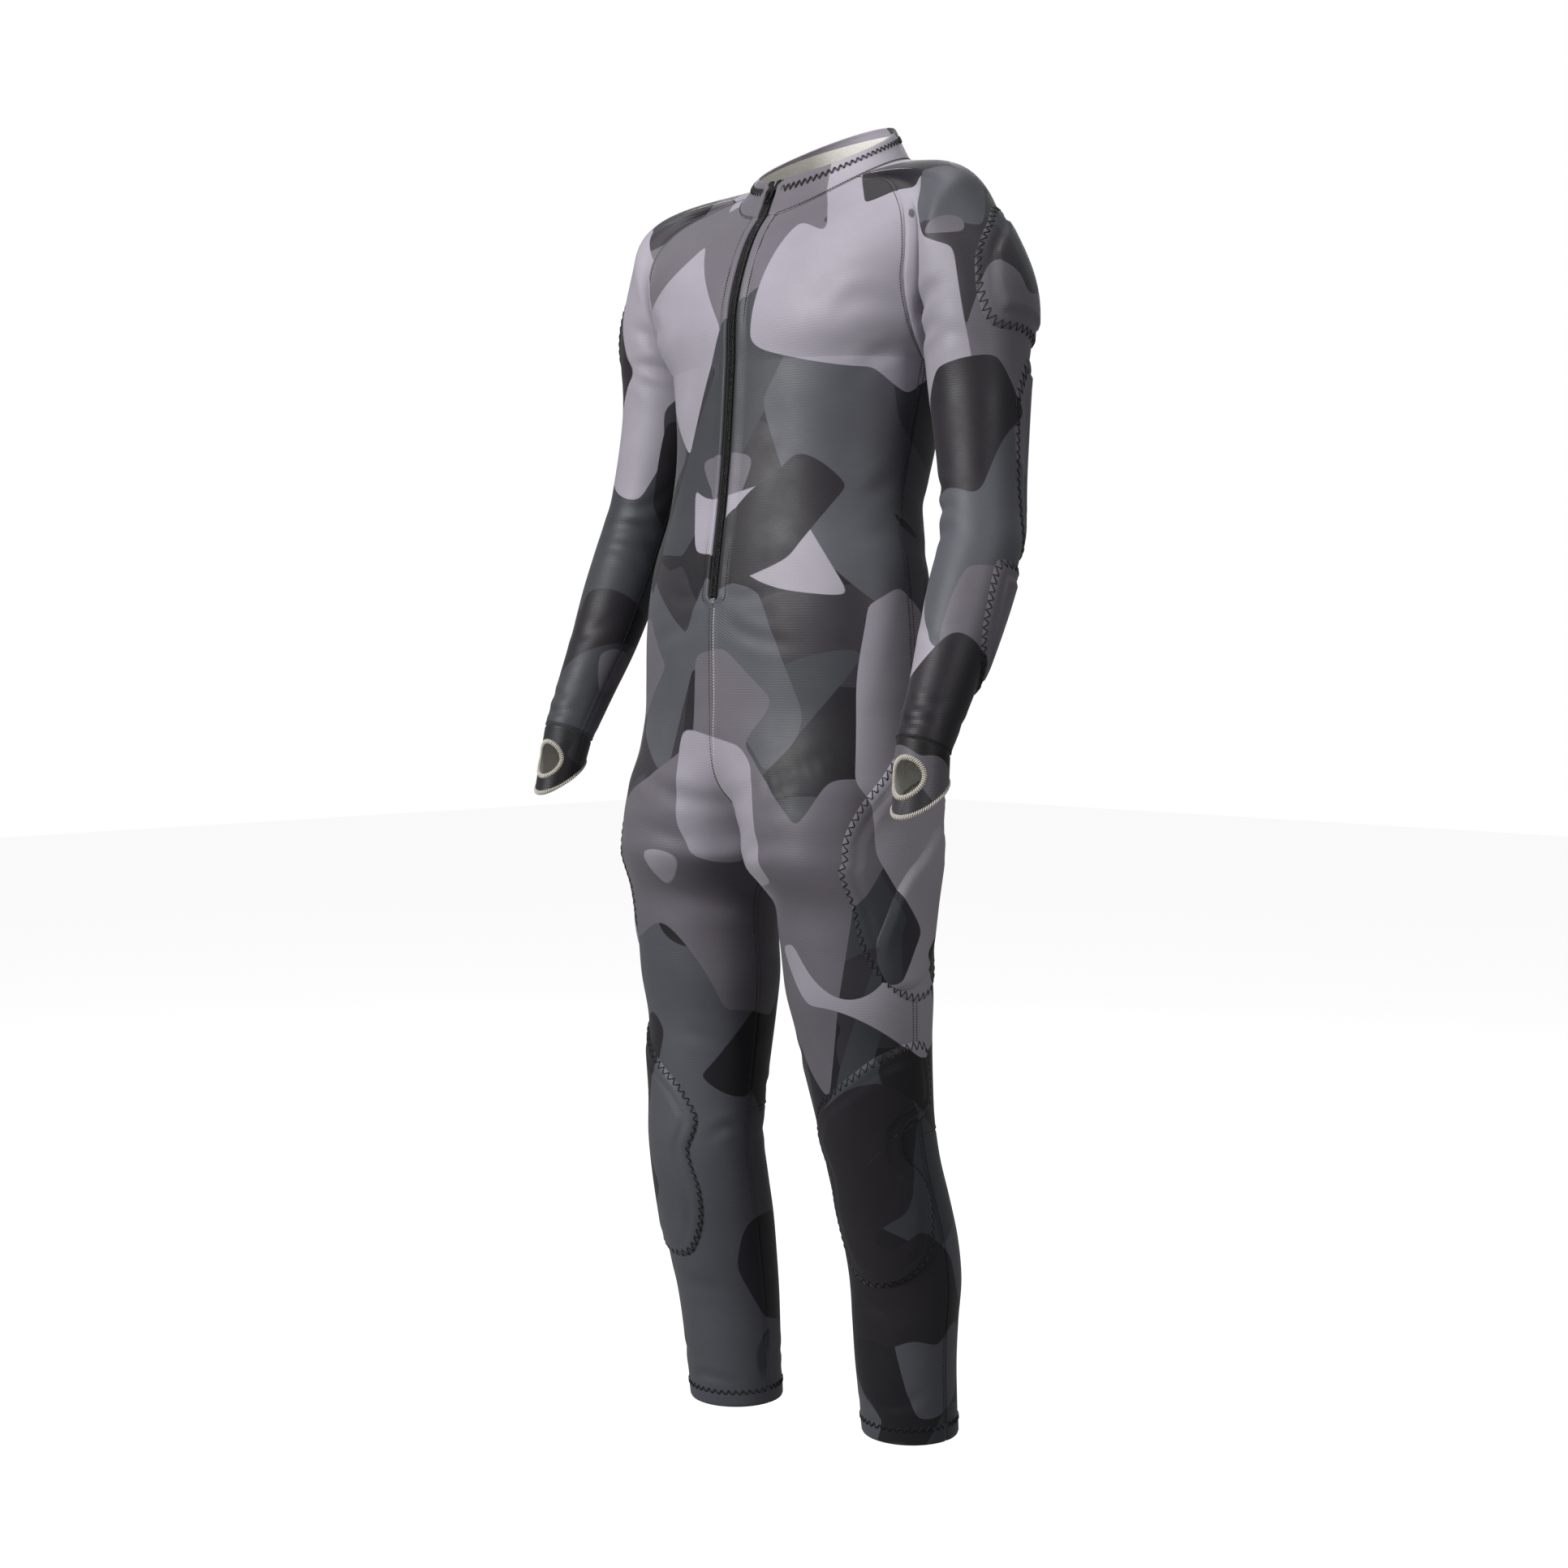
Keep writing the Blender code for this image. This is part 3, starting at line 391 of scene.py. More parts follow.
def bare(surface, side, a, b):
    """Points on a surface and its outward normals, before creases."""
    a, b = np.broadcast_arrays(np.asarray(a, float), np.asarray(b, float))
    left, right, da, db = NORMALS[surface]
    low_a, high_a = a - da, a + da
    if surface in (front_half, back_half):
        low_a, high_a = np.maximum(low_a, 0.0), np.minimum(high_a, 1.0)
    across = surface(side, high_a, b) - surface(side, low_a, b)
    down = surface(side, a, b + db) - surface(side, a, b - db)
    return surface(side, a, b), unit(np.cross(across, down)) * (left if side > 0 else right)


# Creases on each surface: three places along each, its half width and its depth in millimetres. On a panel, a place
# is a share of the width and a row, or a level where it is below the armpit.
CREASES = {
    sleeve_point: (
        (((8.6, 0.55), (6.9, 1.15), (4.6, 1.70)), 7.0, 2.4),
        (((9.8, 1.05), (7.6, 1.75), (5.2, 2.15)), 6.0, 2.0),
        (((8.2, 2.55), (5.5, 2.35), (3.0, 2.75)), 8.0, 1.3),
        (((-8.8, 0.60), (-7.2, 1.20), (-5.2, 1.60)), 7.0, 2.3),
        (((-9.9, 1.10), (-8.0, 1.85), (-5.6, 2.30)), 6.5, 1.8),
        (((10.6, 3.6), (8.0, 4.3), (5.2, 4.5)), 6.0, 1.5),
        (((10.4, 5.3), (8.1, 5.0), (5.0, 5.2)), 6.5, 1.9),
        (((10.2, 6.3), (7.6, 5.9), (4.4, 6.0)), 6.0, 1.3),
        (((-10.4, 4.6), (-9.2, 5.1), (-7.8, 5.0)), 6.0, 1.1),
        (((8.8, 7.6), (6.0, 8.1), (3.0, 7.9)), 6.0, 1.0),
        (((7.8, 9.3), (4.8, 9.7), (1.4, 9.4)), 4.5, 1.4),
        (((8.9, 10.1), (5.6, 10.35), (2.6, 10.2)), 4.0, 1.5),
        (((-1.0, 10.0), (-4.0, 9.7), (-7.0, 10.1)), 4.5, 1.2),
        (((-2.4, 10.7), (-5.4, 10.5), (-8.4, 10.6)), 3.5, 1.1),
    ),
    front_half: (
        (((0.02, 0.80), (0.20, 0.72), (0.42, 0.78)), 9.0, 1.6),
        (((0.02, 0.93), (0.22, 0.98), (0.40, 1.03)), 8.0, 1.5),
        (((0.01, -0.30), (0.16, -0.325), (0.34, -0.33)), 9.0, 0.9),
        (((0.01, -0.385), (0.14, -0.375), (0.38, -0.392)), 8.0, 0.9),
        (((0.96, -0.452), (0.82, -0.470), (0.60, -0.478)), 7.0, 1.0),
        (((0.97, -0.425), (0.85, -0.430), (0.70, -0.418)), 6.0, 0.8),
        (((0.97, -0.640), (0.72, -0.622), (0.42, -0.585)), 9.0, 1.5),
        (((0.96, -0.684), (0.72, -0.680), (0.48, -0.655)), 8.0, 1.3),
        (((0.92, -0.742), (0.74, -0.735), (0.56, -0.712)), 8.0, 0.9),
        (((0.88, -0.905), (0.74, -0.885), (0.58, -0.882)), 7.0, 1.0),
        (((0.96, -0.985), (0.86, -0.975), (0.74, -0.990)), 6.0, 1.2),
        (((0.30, -1.150), (0.52, -1.142), (0.74, -1.150)), 8.0, 0.8),
        (((0.16, -1.222), (0.34, -1.236), (0.50, -1.230)), 6.0, 1.3),
        (((0.40, -1.250), (0.58, -1.243), (0.78, -1.252)), 5.0, 1.0),
    ),
    back_half: (
        (((0.02, 0.84), (0.18, 0.80), (0.40, 0.88)), 9.0, 1.6),
        (((0.02, 0.96), (0.22, 1.01), (0.44, 1.03)), 8.0, 1.4),
        (((0.10, -0.330), (0.45, -0.345), (0.92, -0.338)), 11.0, 1.3),
        (((0.06, -0.380), (0.40, -0.392), (0.78, -0.382)), 10.0, 1.1),
        (((0.95, -0.560), (0.70, -0.630), (0.45, -0.655)), 9.0, 1.2),
        (((0.94, -0.690), (0.72, -0.694), (0.50, -0.684)), 9.0, 1.7),
        (((0.92, -0.735), (0.70, -0.742), (0.52, -0.730)), 8.0, 1.1),
        (((0.28, -0.925), (0.60, -0.938), (0.94, -0.930)), 6.5, 1.7),
        (((0.42, -0.950), (0.66, -0.957), (0.90, -0.951)), 5.0, 1.2),
        (((0.36, -0.995), (0.62, -0.985), (0.93, -0.998)), 6.5, 1.5),
        (((0.30, -1.232), (0.56, -1.222), (0.86, -1.236)), 6.0, 1.2),
        (((0.46, -1.250), (0.66, -1.256), (0.90, -1.248)), 5.0, 0.9),
    ),
}
CREASE_SAMPLES = np.linspace(0, 1, 15)
CREASE_CURL = 0.4


def crease_lines():
    """Each crease as points, with a taper to its ends; the two sides differ a little in place and depth."""
    found = []
    t = CREASE_SAMPLES
    every = [(surface, *crease) for surface, creases in CREASES.items() for crease in creases]
    for number, (surface, spots, width, depth) in enumerate(every):
        (a0, b0), (a1, b1), (a2, b2) = [(a, b if b > 0 else row_of(b)) for a, b in spots]
        for _, side in SIDES:
            uneven = math.sin(number * 2.4 + side)
            a = (1 - t) ** 2 * a0 + 2 * t * (1 - t) * (2 * a1 - (a0 + a2) / 2) + t**2 * a2
            b = (1 - t) ** 2 * b0 + 2 * t * (1 - t) * (2 * b1 - (b0 + b2) / 2) + t**2 * b2
            b = b + 0.02 * uneven * (1 if surface is sleeve_point else 0.25)
            taper = np.sin(np.pi * np.clip(t, 0.02, 0.98)) ** 0.8 * (1 + 0.25 * uneven)
            found.append((surface(side, a, b), taper * depth / 1000, width / 1000))
    return found


CREASE_LINES = crease_lines()


def crease_shift(points):
    """How far the creases move some points along their normals."""
    flat = points.reshape(-1, 3)
    shift = np.zeros(len(flat))
    for line, depth, width in CREASE_LINES:
        middle = line.mean(axis=0)
        reach = np.linalg.norm(line - middle, axis=1).max() + 4 * width
        near = np.flatnonzero(np.linalg.norm(flat - middle, axis=1) < reach)
        if not len(near):
            continue
        apart = np.linalg.norm(flat[near, None] - line[None], axis=2)
        closest = apart.argmin(axis=1)
        d = apart[np.arange(len(near)), closest] / width
        shift[near] -= depth[closest] * (np.exp(-d**2) - CREASE_CURL * np.exp(-((d - 1.9) ** 2)))
    return shift.reshape(points.shape[:-1])


def cloth(surface, side, a, b):
    """Points on the creased cloth and their outward normals."""
    points, normal = bare(surface, side, a, b)
    return points + crease_shift(points)[..., None] * normal, normal


# The print: layers of rounded shards. Each has its tone, its share of the cells, how far that share follows the
# light zones, its cells' size and their skew. A zone is a level and how light the print is there.
BASE_TONE = (0.033, 0.029, 0.036)
LAYERS = (
    ((0.012, 0.010, 0.014), 0.40, -0.55, (0.150, 0.130, 0.115), 0.5),
    ((0.046, 0.050, 0.060), 0.34, -0.10, (0.130, 0.140, 0.150), -0.6),
    ((0.090, 0.092, 0.110), 0.26, 0.20, (0.140, 0.120, 0.150), 0.7),
    ((0.150, 0.136, 0.162), 0.30, 0.50, (0.120, 0.130, 0.125), -0.4),
    ((0.370, 0.345, 0.400), 0.34, 0.85, (0.140, 0.140, 0.130), 0.6),
    ((0.017, 0.014, 0.019), 0.12, -0.60, (0.110, 0.120, 0.100), -0.7),
)
ZONES = (
    (0.06, 0.22), (-0.02, 0.62), (-0.10, 0.84), (-0.17, 0.62), (-0.24, 0.26), (-0.35, 0.20), (-0.43, 0.28),
    (-0.53, 0.44), (-0.62, 0.70), (-0.72, 0.52), (-0.80, 0.28), (-0.90, 0.16), (-1.02, 0.26), (-1.12, 0.36),
    (-1.25, 0.12))
ROUNDING = 260.0
FIELD_LIMIT = 0.02
EDGE_SHARPNESS = 1800.0


def print_layers():
    """For each layer its skew, and the centres of the cells in and out of its shards, the same on every run."""
    dice = np.random.default_rng(23)
    layers = []
    for _, share, bias, size, skew in LAYERS:
        cells = []
        for x in np.arange(-0.40, 0.41, size[0]):
            for y in np.arange(-0.34, 0.28, size[1]):
                for z in np.arange(-1.44, 0.20, size[2]):
                    cells.append(np.array([x, y, z]) + (dice.random(3) - 0.5) * np.array(size) * 0.9)
        cells = np.array(cells)
        light = np.interp(-cells[:, 2], [-row[0] for row in ZONES], [row[1] for row in ZONES])
        chance = np.clip(share + bias * (light - 0.5), 0.03, 0.92)
        layers.append((skew, cells, dice.random(len(cells)) < chance))
    return layers


PRINT_LAYERS = print_layers()


def skewed(points, skew):
    turned = points.copy()
    turned[..., 2] += skew * (points[..., 0] - 0.6 * points[..., 1])
    return turned


def layer_fields(points):
    """How far inside a shard of each layer each point lies, in metres."""
    fields = np.zeros((len(points), len(LAYERS)))
    for number, (skew, cells, chosen) in enumerate(PRINT_LAYERS):
        cells = skewed(cells, skew)
        for first in range(0, len(points), 6000):
            part = skewed(points[first:first + 6000], skew)
            near = (np.abs(cells - part.mean(axis=0)) < np.ptp(part, axis=0) / 2 + 0.24).all(axis=1)
            away = ((part[:, None] - cells[None, near]) ** 2).sum(axis=2)
            away = (away.min(axis=1, keepdims=True) - away) / 0.22
            weight = np.exp(np.maximum(ROUNDING * away, -60))
            held = weight[:, chosen[near]].sum(axis=1) + 1e-20
            free = weight[:, ~chosen[near]].sum(axis=1) + 1e-20
            fields[first:first + 6000, number] = np.log(held / free) / ROUNDING
    return fields


def paint(mesh, outer_count=None):
    """Keeps the layers' fields on the mesh, for the material to cut at zero. An inner face copies the outer one."""
    points = np.empty(len(mesh.vertices) * 3)
    mesh.vertices.foreach_get("co", points)
    fields = layer_fields(points.reshape(-1, 3)[:outer_count])
    if outer_count:
        fields = np.concatenate([fields, fields])
    fields = np.clip(fields, -FIELD_LIMIT, FIELD_LIMIT)
    for number, name in enumerate(("shards_low", "shards_high")):
        kept = mesh.attributes.new(name, "FLOAT_VECTOR", "POINT")
        part = np.ascontiguousarray(fields[:, 3 * number:3 * number + 3])
        kept.data.foreach_set("vector", part.ravel())


# Materials

def new_material(name, roughness, metallic=0.0):
    made = bpy.data.materials.new(name)
    made.use_nodes = True
    shader = made.node_tree.nodes["Principled BSDF"]
    shader.inputs["Roughness"].default_value = roughness
    shader.inputs["Metallic"].default_value = metallic
    return made, made.node_tree, shader


def ranged(tree, source, low, high, to_low, to_high):
    """A value taken from one range to another."""
    made = tree.nodes.new("ShaderNodeMapRange")
    for name, value in (("From Min", low), ("From Max", high), ("To Min", to_low), ("To Max", to_high)):
        made.inputs[name].default_value = value
    tree.links.new(source, made.inputs["Value"])
    return made.outputs[0]


def math_node(tree, operation, first, second=0.5, clamp=False):
    made = tree.nodes.new("ShaderNodeMath")
    made.operation = operation
    made.use_clamp = clamp
    for socket, value in zip(made.inputs, (first, second)):
        if isinstance(value, (int, float)):
            socket.default_value = value
        else:
            tree.links.new(value, socket)
    return made.outputs[0]


def mix_colour(tree, factor, first, second, blend="MIX"):
    made = tree.nodes.new("ShaderNodeMix")
    made.data_type = "RGBA"
    made.blend_type = blend
    for socket, value in ((made.inputs[0], factor), (made.inputs[6], first), (made.inputs[7], second)):
        if isinstance(value, (int, float)):
            socket.default_value = value
        elif isinstance(value, tuple):
            socket.default_value = (*value, 1)
        else:
            tree.links.new(value, socket)
    return made.outputs[2]


def shaded(tree, colour, shade):
    """A colour times a grey."""
    grey = tree.nodes.new("ShaderNodeCombineColor")
    for socket in grey.inputs:
        tree.links.new(shade, socket)
    return mix_colour(tree, 1.0, colour, grey.outputs[0], "MULTIPLY")


def coordinates(tree, stretch=(1, 1, 1)):
    where = tree.nodes.new("ShaderNodeTexCoord")
    scale = tree.nodes.new("ShaderNodeMapping")
    scale.inputs["Scale"].default_value = stretch
    tree.links.new(where.outputs["Object"], scale.inputs["Vector"])
    return scale.outputs["Vector"]


def noise(tree, scale, detail=2.0, stretch=(1, 1, 1)):
    made = tree.nodes.new("ShaderNodeTexNoise")
    made.inputs["Scale"].default_value = scale
    made.inputs["Detail"].default_value = detail
    tree.links.new(coordinates(tree, stretch), made.inputs["Vector"])
    return made.outputs["Fac"]


def add_bump(tree, shader, height, distance, strength):
    bump = tree.nodes.new("ShaderNodeBump")
    bump.inputs["Strength"].default_value = strength
    bump.inputs["Distance"].default_value = distance
    tree.links.new(height, bump.inputs["Height"])
    tree.links.new(bump.outputs["Normal"], shader.inputs["Normal"])


def knit_height(tree):
    """Fine cross ribs broken into small stitches."""
    ribs = tree.nodes.new("ShaderNodeTexWave")
    ribs.bands_direction = "Z"
    ribs.inputs["Scale"].default_value = 190
    ribs.inputs["Distortion"].default_value = 1.2
    ribs.inputs["Detail"].default_value = 1.0
    tree.links.new(coordinates(tree), ribs.inputs["Vector"])
    grain = noise(tree, 900, 2.0, (1, 1, 1.6))
    return math_node(tree, "ADD", math_node(tree, "MULTIPLY", ribs.outputs["Fac"], 0.55),
                     math_node(tree, "MULTIPLY", grain, 0.6))


def fan_height(tree):
    """Small puckers across the centre seam just below the zip, dying away from it."""
    where = tree.nodes.new("ShaderNodeTexCoord")
    parts = tree.nodes.new("ShaderNodeSeparateXYZ")
    tree.links.new(where.outputs["Object"], parts.inputs[0])
    x, y, z = parts.outputs
    aside = math_node(tree, "ABSOLUTE", x)
    rise = math_node(tree, "ADD", z, math_node(tree, "MULTIPLY", aside, 0.45))
    wave = math_node(tree, "SINE", math_node(tree, "MULTIPLY", rise, 2300.0))
    below = ranged(tree, z, ZIP_BOTTOM - 0.093, ZIP_BOTTOM - 0.015, 0.0, 1.0)
    above = ranged(tree, z, ZIP_BOTTOM + 0.001, ZIP_BOTTOM - 0.009, 0.0, 1.0)
    beside = ranged(tree, aside, 0.045, 0.004, 0.0, 1.0)
    ahead = math_node(tree, "LESS_THAN", y, 0.0)
    held = math_node(tree, "MULTIPLY", below, above)
    held = math_node(tree, "MULTIPLY", held, math_node(tree, "MULTIPLY", beside, ahead))
    return math_node(tree, "MULTIPLY", wave, math_node(tree, "MULTIPLY", held, 1.3))


def printed_cloth(name, darken=1.0):
    made, tree, shader = new_material(name, 0.50)
    shader.inputs["Sheen Weight"].default_value = 0.22
    shader.inputs["Sheen Roughness"].default_value = 0.45
    shader.inputs["Specular IOR Level"].default_value = 0.38
    depths = []
    for attribute in ("shards_low", "shards_high"):
        source = tree.nodes.new("ShaderNodeAttribute")
        source.attribute_name = attribute
        parts = tree.nodes.new("ShaderNodeSeparateXYZ")
        tree.links.new(source.outputs["Vector"], parts.inputs[0])
        depths += list(parts.outputs)
    colour = tuple(darken * value for value in BASE_TONE)
    for depth, (tone, *_) in zip(depths, LAYERS):
        shown = math_node(tree, "ADD", math_node(tree, "MULTIPLY", depth, EDGE_SHARPNESS), 0.5, True)
        colour = mix_colour(tree, shown, colour, tuple(darken * value for value in tone))
    height = knit_height(tree)
    cloudy = ranged(tree, noise(tree, 9, 3.0), 0.3, 0.7, 0.88, 1.10)
    # Painted shade and highlight of the knit: its height (ribs and grain) darkens the colour in the hollows and
    # lightens it on the crests.
    fine = ranged(tree, height, 0.2, 0.9, 0.93, 1.06)
    shade = math_node(tree, "MULTIPLY", cloudy, fine)
    tree.links.new(shaded(tree, colour, shade), shader.inputs["Base Color"])
    tree.links.new(ranged(tree, noise(tree, 30, 2.0), 0.3, 0.7, 0.44, 0.56), shader.inputs["Roughness"])
    add_bump(tree, shader, math_node(tree, "ADD", height, fan_height(tree)), 0.0004, 0.35)
    return made


def plain_cloth(name, colour, roughness, grain, bump, sheen=0.0, spread=0.10):
    """Cloth, tape or thread of one dye, with a grain in its colour and height."""
    made, tree, shader = new_material(name, roughness)
    shader.inputs["Sheen Weight"].default_value = sheen
    source = noise(tree, grain, 3.0)
    shade = ranged(tree, source, 0.3, 0.7, 1 - spread, 1 + spread)
    tree.links.new(shaded(tree, colour, shade), shader.inputs["Base Color"])
    add_bump(tree, shader, source, bump, 0.5)
    return made


def coated_metal(name, colour, roughness, metallic):
    made, tree, shader = new_material(name, roughness, metallic)
    source = noise(tree, 300, 3.0)
    rough = ranged(tree, source, 0.35, 0.75, roughness - 0.08, roughness + 0.12)
    tree.links.new(rough, shader.inputs["Roughness"])
    wear = mix_colour(tree, source, colour, tuple(min(1.0, value * 1.5 + 0.01) for value in colour))
    tree.links.new(wear, shader.inputs["Base Color"])
    add_bump(tree, shader, source, 0.0001, 0.2)
    return made


PRINT = printed_cloth("printed_cloth_look")
CUFF_PRINT = printed_cloth("cuff_cloth_look", 0.30)
FLEECE = plain_cloth("fleece_look", (0.94, 0.925, 0.86), 0.9, 420, 0.0006, 0.3, 0.07)
DARK_THREAD = plain_cloth("dark_thread_look", (0.010, 0.009, 0.011), 0.6, 1500, 0.0001)
GREY_THREAD = plain_cloth("grey_thread_look", (0.030, 0.028, 0.032), 0.6, 1500, 0.0001)
PALE_THREAD = plain_cloth("pale_thread_look", (0.80, 0.76, 0.68), 0.75, 1200, 0.0002, 0.2, 0.12)
# Painted shade: the overlock's core is a darker grey than its pale thread, standing in for the shadow between the
# wraps.
PAINTED_SHADE_CORE = plain_cloth("painted_shade_core_look", (0.34, 0.31, 0.26), 0.85, 1200, 0.0002)
ZIP_TAPE = plain_cloth("zip_tape_look", (0.0045, 0.0045, 0.005), 0.70, 1400, 0.0003, 0.0, 0.35)
ZIP_COIL = plain_cloth("zip_coil_look", (0.006, 0.006, 0.007), 0.26, 600, 0.0001)
ZIP_METAL = coated_metal("zip_metal_look", (0.020, 0.020, 0.022), 0.36, 0.7)
STOP_METAL = coated_metal("stop_metal_look", (0.42, 0.42, 0.44), 0.30, 0.9)


# Building meshes

GRID = 0.0036
SEAM_DIP = 0.0010
SEAM_REACH = 0.0014


def make_object(name, points, faces, looks, face_looks=None, smooth_shade=True):
    mesh = bpy.data.meshes.new(name)
    mesh.from_pydata([tuple(point) for point in points], [], faces)
    for look in looks:
        mesh.materials.append(look)
    if face_looks is not None:
        mesh.polygons.foreach_set("material_index", np.asarray(face_looks, np.int32))
    if smooth_shade:
        mesh.shade_smooth()
    made = bpy.data.objects.new(name, mesh)
    bpy.context.scene.collection.objects.link(made)
    return made


def grid_faces(rows, columns, first=0, closed=False, turned=False):
    """Faces of a grid of points, which may close round its columns."""
    last = columns if closed else columns - 1
    row, column = np.meshgrid(np.arange(rows - 1), np.arange(last), indexing="ij")
    after = (column + 1) % columns
    quads = np.stack([row * columns + column, (row + 1) * columns + column,
                      (row + 1) * columns + after, row * columns + after], axis=-1).reshape(-1, 4) + first
    return quads[:, ::-1] if turned else quads


def rim_faces(line, count, turned=False):
    """Faces from an edge of a wall's outer face to the same edge of its inner one, count points on."""
    quads = np.stack([line[:-1], line[1:], line[1:] + count, line[:-1] + count], axis=1)
    return quads[:, ::-1] if turned else quads


def lengths_along(points, axis):
    """How far along its row or column each point of a grid lies."""
    steps = np.linalg.norm(np.diff(points, axis=axis), axis=2)
    start = np.zeros((1, steps.shape[1])) if axis == 0 else np.zeros((steps.shape[0], 1))
    return np.concatenate([start, np.cumsum(steps, axis=axis)], axis=axis)


def graded(values, extra):
    """Places with a few more of them close to each end."""
    low, high = values[0], values[-1]
    return np.unique(np.round(np.concatenate([values, low + np.array(extra), high - np.array(extra)]), 6))


def even(surface, side, a, low, high, step=GRID):
    """Places from low to high that lie about one step apart on the cloth, closer at the ends."""
    fine = np.linspace(low, high, 400)
    run = distances(surface(side, np.full(400, float(a)), fine))
    count = max(4, int(run[-1] / step))
    wanted = graded(np.linspace(0, run[-1], count), (0.0008, 0.002))
    return np.interp(wanted, run, fine)


def shell(name, surface, side, columns, rows, curled, relief=None, looks=(PRINT, FLEECE), turned_up=None, warp=None):
    """A thin wall of cloth on a surface. curled says which edges turn in at a seam, first and last column, then row,
    and turned_up how much of the inside shows the outer face."""
    a, b = np.meshgrid(columns, rows)
    if warp is not None:
        a, b = warp(a, b)
    points, normal = cloth(surface, side, a, b)
    across = lengths_along(points, 1)
    down = lengths_along(points, 0)
    edges = (across, across[:, -1:] - across, down, down[-1:] - down)
    shift = np.zeros(points.shape[:2])
    for wanted, distance in zip(curled, edges):
        if wanted:
            shift -= SEAM_DIP * np.exp(-((distance / SEAM_REACH) ** 2))
    if relief is not None:
        shift += relief(points, edges)
    outer = points + shift[..., None] * normal
    inner = outer - CLOTH * normal
    if not curled[2]:
        inner[0] = outer[0] - 0.6 * CLOTH * normal[0]
    count = outer.shape[0] * outer.shape[1]
    height, width = outer.shape[:2]
    flip = np.linalg.det(np.stack([outer[1, 0] - outer[0, 0], outer[0, 1] - outer[0, 0], normal[0, 0]])) < 0
    top = grid_faces(height, width, 0, turned=flip)
    bottom = grid_faces(height, width, count, turned=not flip)
    index = np.arange(count).reshape(height, width)
    rims = []
    for line, backwards in ((index[0], False), (index[-1], True), (index[:, 0], True), (index[:, -1], False)):
        rims.append(rim_faces(line[::-1] if backwards else line, count, flip))
    faces = np.concatenate([top, bottom, *rims])
    inside = np.ones((height - 1, width - 1), np.int32)
    if turned_up is not None:
        from_edge = down[-1:, :-1] - down[:-1, :-1] if curled[2] else down[:-1, :-1]
        inside[from_edge < turned_up] = 0
    face_looks = np.concatenate([np.zeros(len(top)), inside.ravel(), np.zeros(sum(map(len, rims)))])
    points = np.concatenate([outer.reshape(-1, 3), inner.reshape(-1, 3)])
    made = make_object(name, points, faces.tolist(), looks, face_looks)
    falling, rising = outer[1:, 1:] - outer[:-1, :-1], outer[1:, :-1] - outer[:-1, 1:]
    area = np.linalg.norm(np.cross(falling, rising), axis=2).sum() / 2
    made["cut_size"] = (float(across[:, -1].max()), float(down[-1].max()), float(area))
    made["outer_points"] = count
    return made


def dress(piece, nodes):
    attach(piece, "root")
    if nodes:
        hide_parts(*nodes)


# Cloth panels

def fly_relief(points, edges):
    """The folded edge beside the zip stands up a little inside its line of stitches; hems are double."""
    beside = edges[1]
    level = points[..., 2]
    along_zip = step01((level - ZIP_BOTTOM + 0.004) / 0.006)
    fold = 0.0017 * step01(beside / 0.0012) * (1 - step01((beside - 0.0065) / 0.0035))
    fold -= 0.0007 * np.exp(-(((beside - 0.0098) / 0.0013) ** 2))
    seam = 0.0007 * np.exp(-(((beside - 0.0022) / 0.0016) ** 2))
    return along_zip * fold + (1 - along_zip) * seam * (level > -0.69) + hem_relief(points, edges)


def hem_relief(points, edges):
    up = edges[3]
    at_hem = points[..., 2] < HEM_LEVEL + 0.05
    fold = 0.0006 * (1 - step01((up - 0.016) / 0.002)) - 0.0008 * (1 - step01(up / 0.0022))
    fold -= 0.0004 * np.exp(-(((up - 0.0165) / 0.0016) ** 2))
    return at_hem * fold


def zip_edge(level):
    """Half width of the zip's slot at a level, round at its lower end."""
    over = np.clip((level - ZIP_BOTTOM) / ZIP_HALF, 0, 1)
    return ZIP_HALF * np.sqrt(np.clip(1 - (1 - over) ** 2, 0, 1))


def beside_zip(side, rows, away=0.0):
    """Share of the front panel at a distance from the zip's slot."""
    slope = np.abs(front_half(side, 0.97, rows)[:, 0]) / 0.03
    level = front_half(side, 1.0, rows)[:, 2]
    return 1 - (zip_edge(level) + away) / slope


def open_for_zip(side):
    return lambda share, row: (share * beside_zip(side, row[:, -1])[:, None], row)


def notch_for_zip(turn, share):
    """The collar's top edge dips beside the zip's open top."""
    away = np.minimum(turn, 2 * math.pi - turn) * 0.075 - ZIP_HALF
    return turn, share * (1 - 0.17 * np.exp(-((away / 0.007) ** 2)) * step01((share - 0.4) / 0.6))


def collar_relief(points, edges):
    """The turned top edge and the flaps beside the zip."""
    top = edges[2]
    beside = np.minimum(edges[0], edges[1])
    fold = 0.0007 * (1 - step01((top - 0.007) / 0.002)) - 0.0006 * (1 - step01(top / 0.0018))
    flap = 0.0016 * step01(beside / 0.0012) * (1 - step01((beside - 0.0065) / 0.0035))
    return fold + flap


HEM_TURN = 0.016
COLLAR_TURN = 0.005
ROUND_SLEEVE = graded(np.linspace(-SLEEVE_COLUMNS / 2, SLEEVE_COLUMNS / 2, 111), (0.05, 0.12))


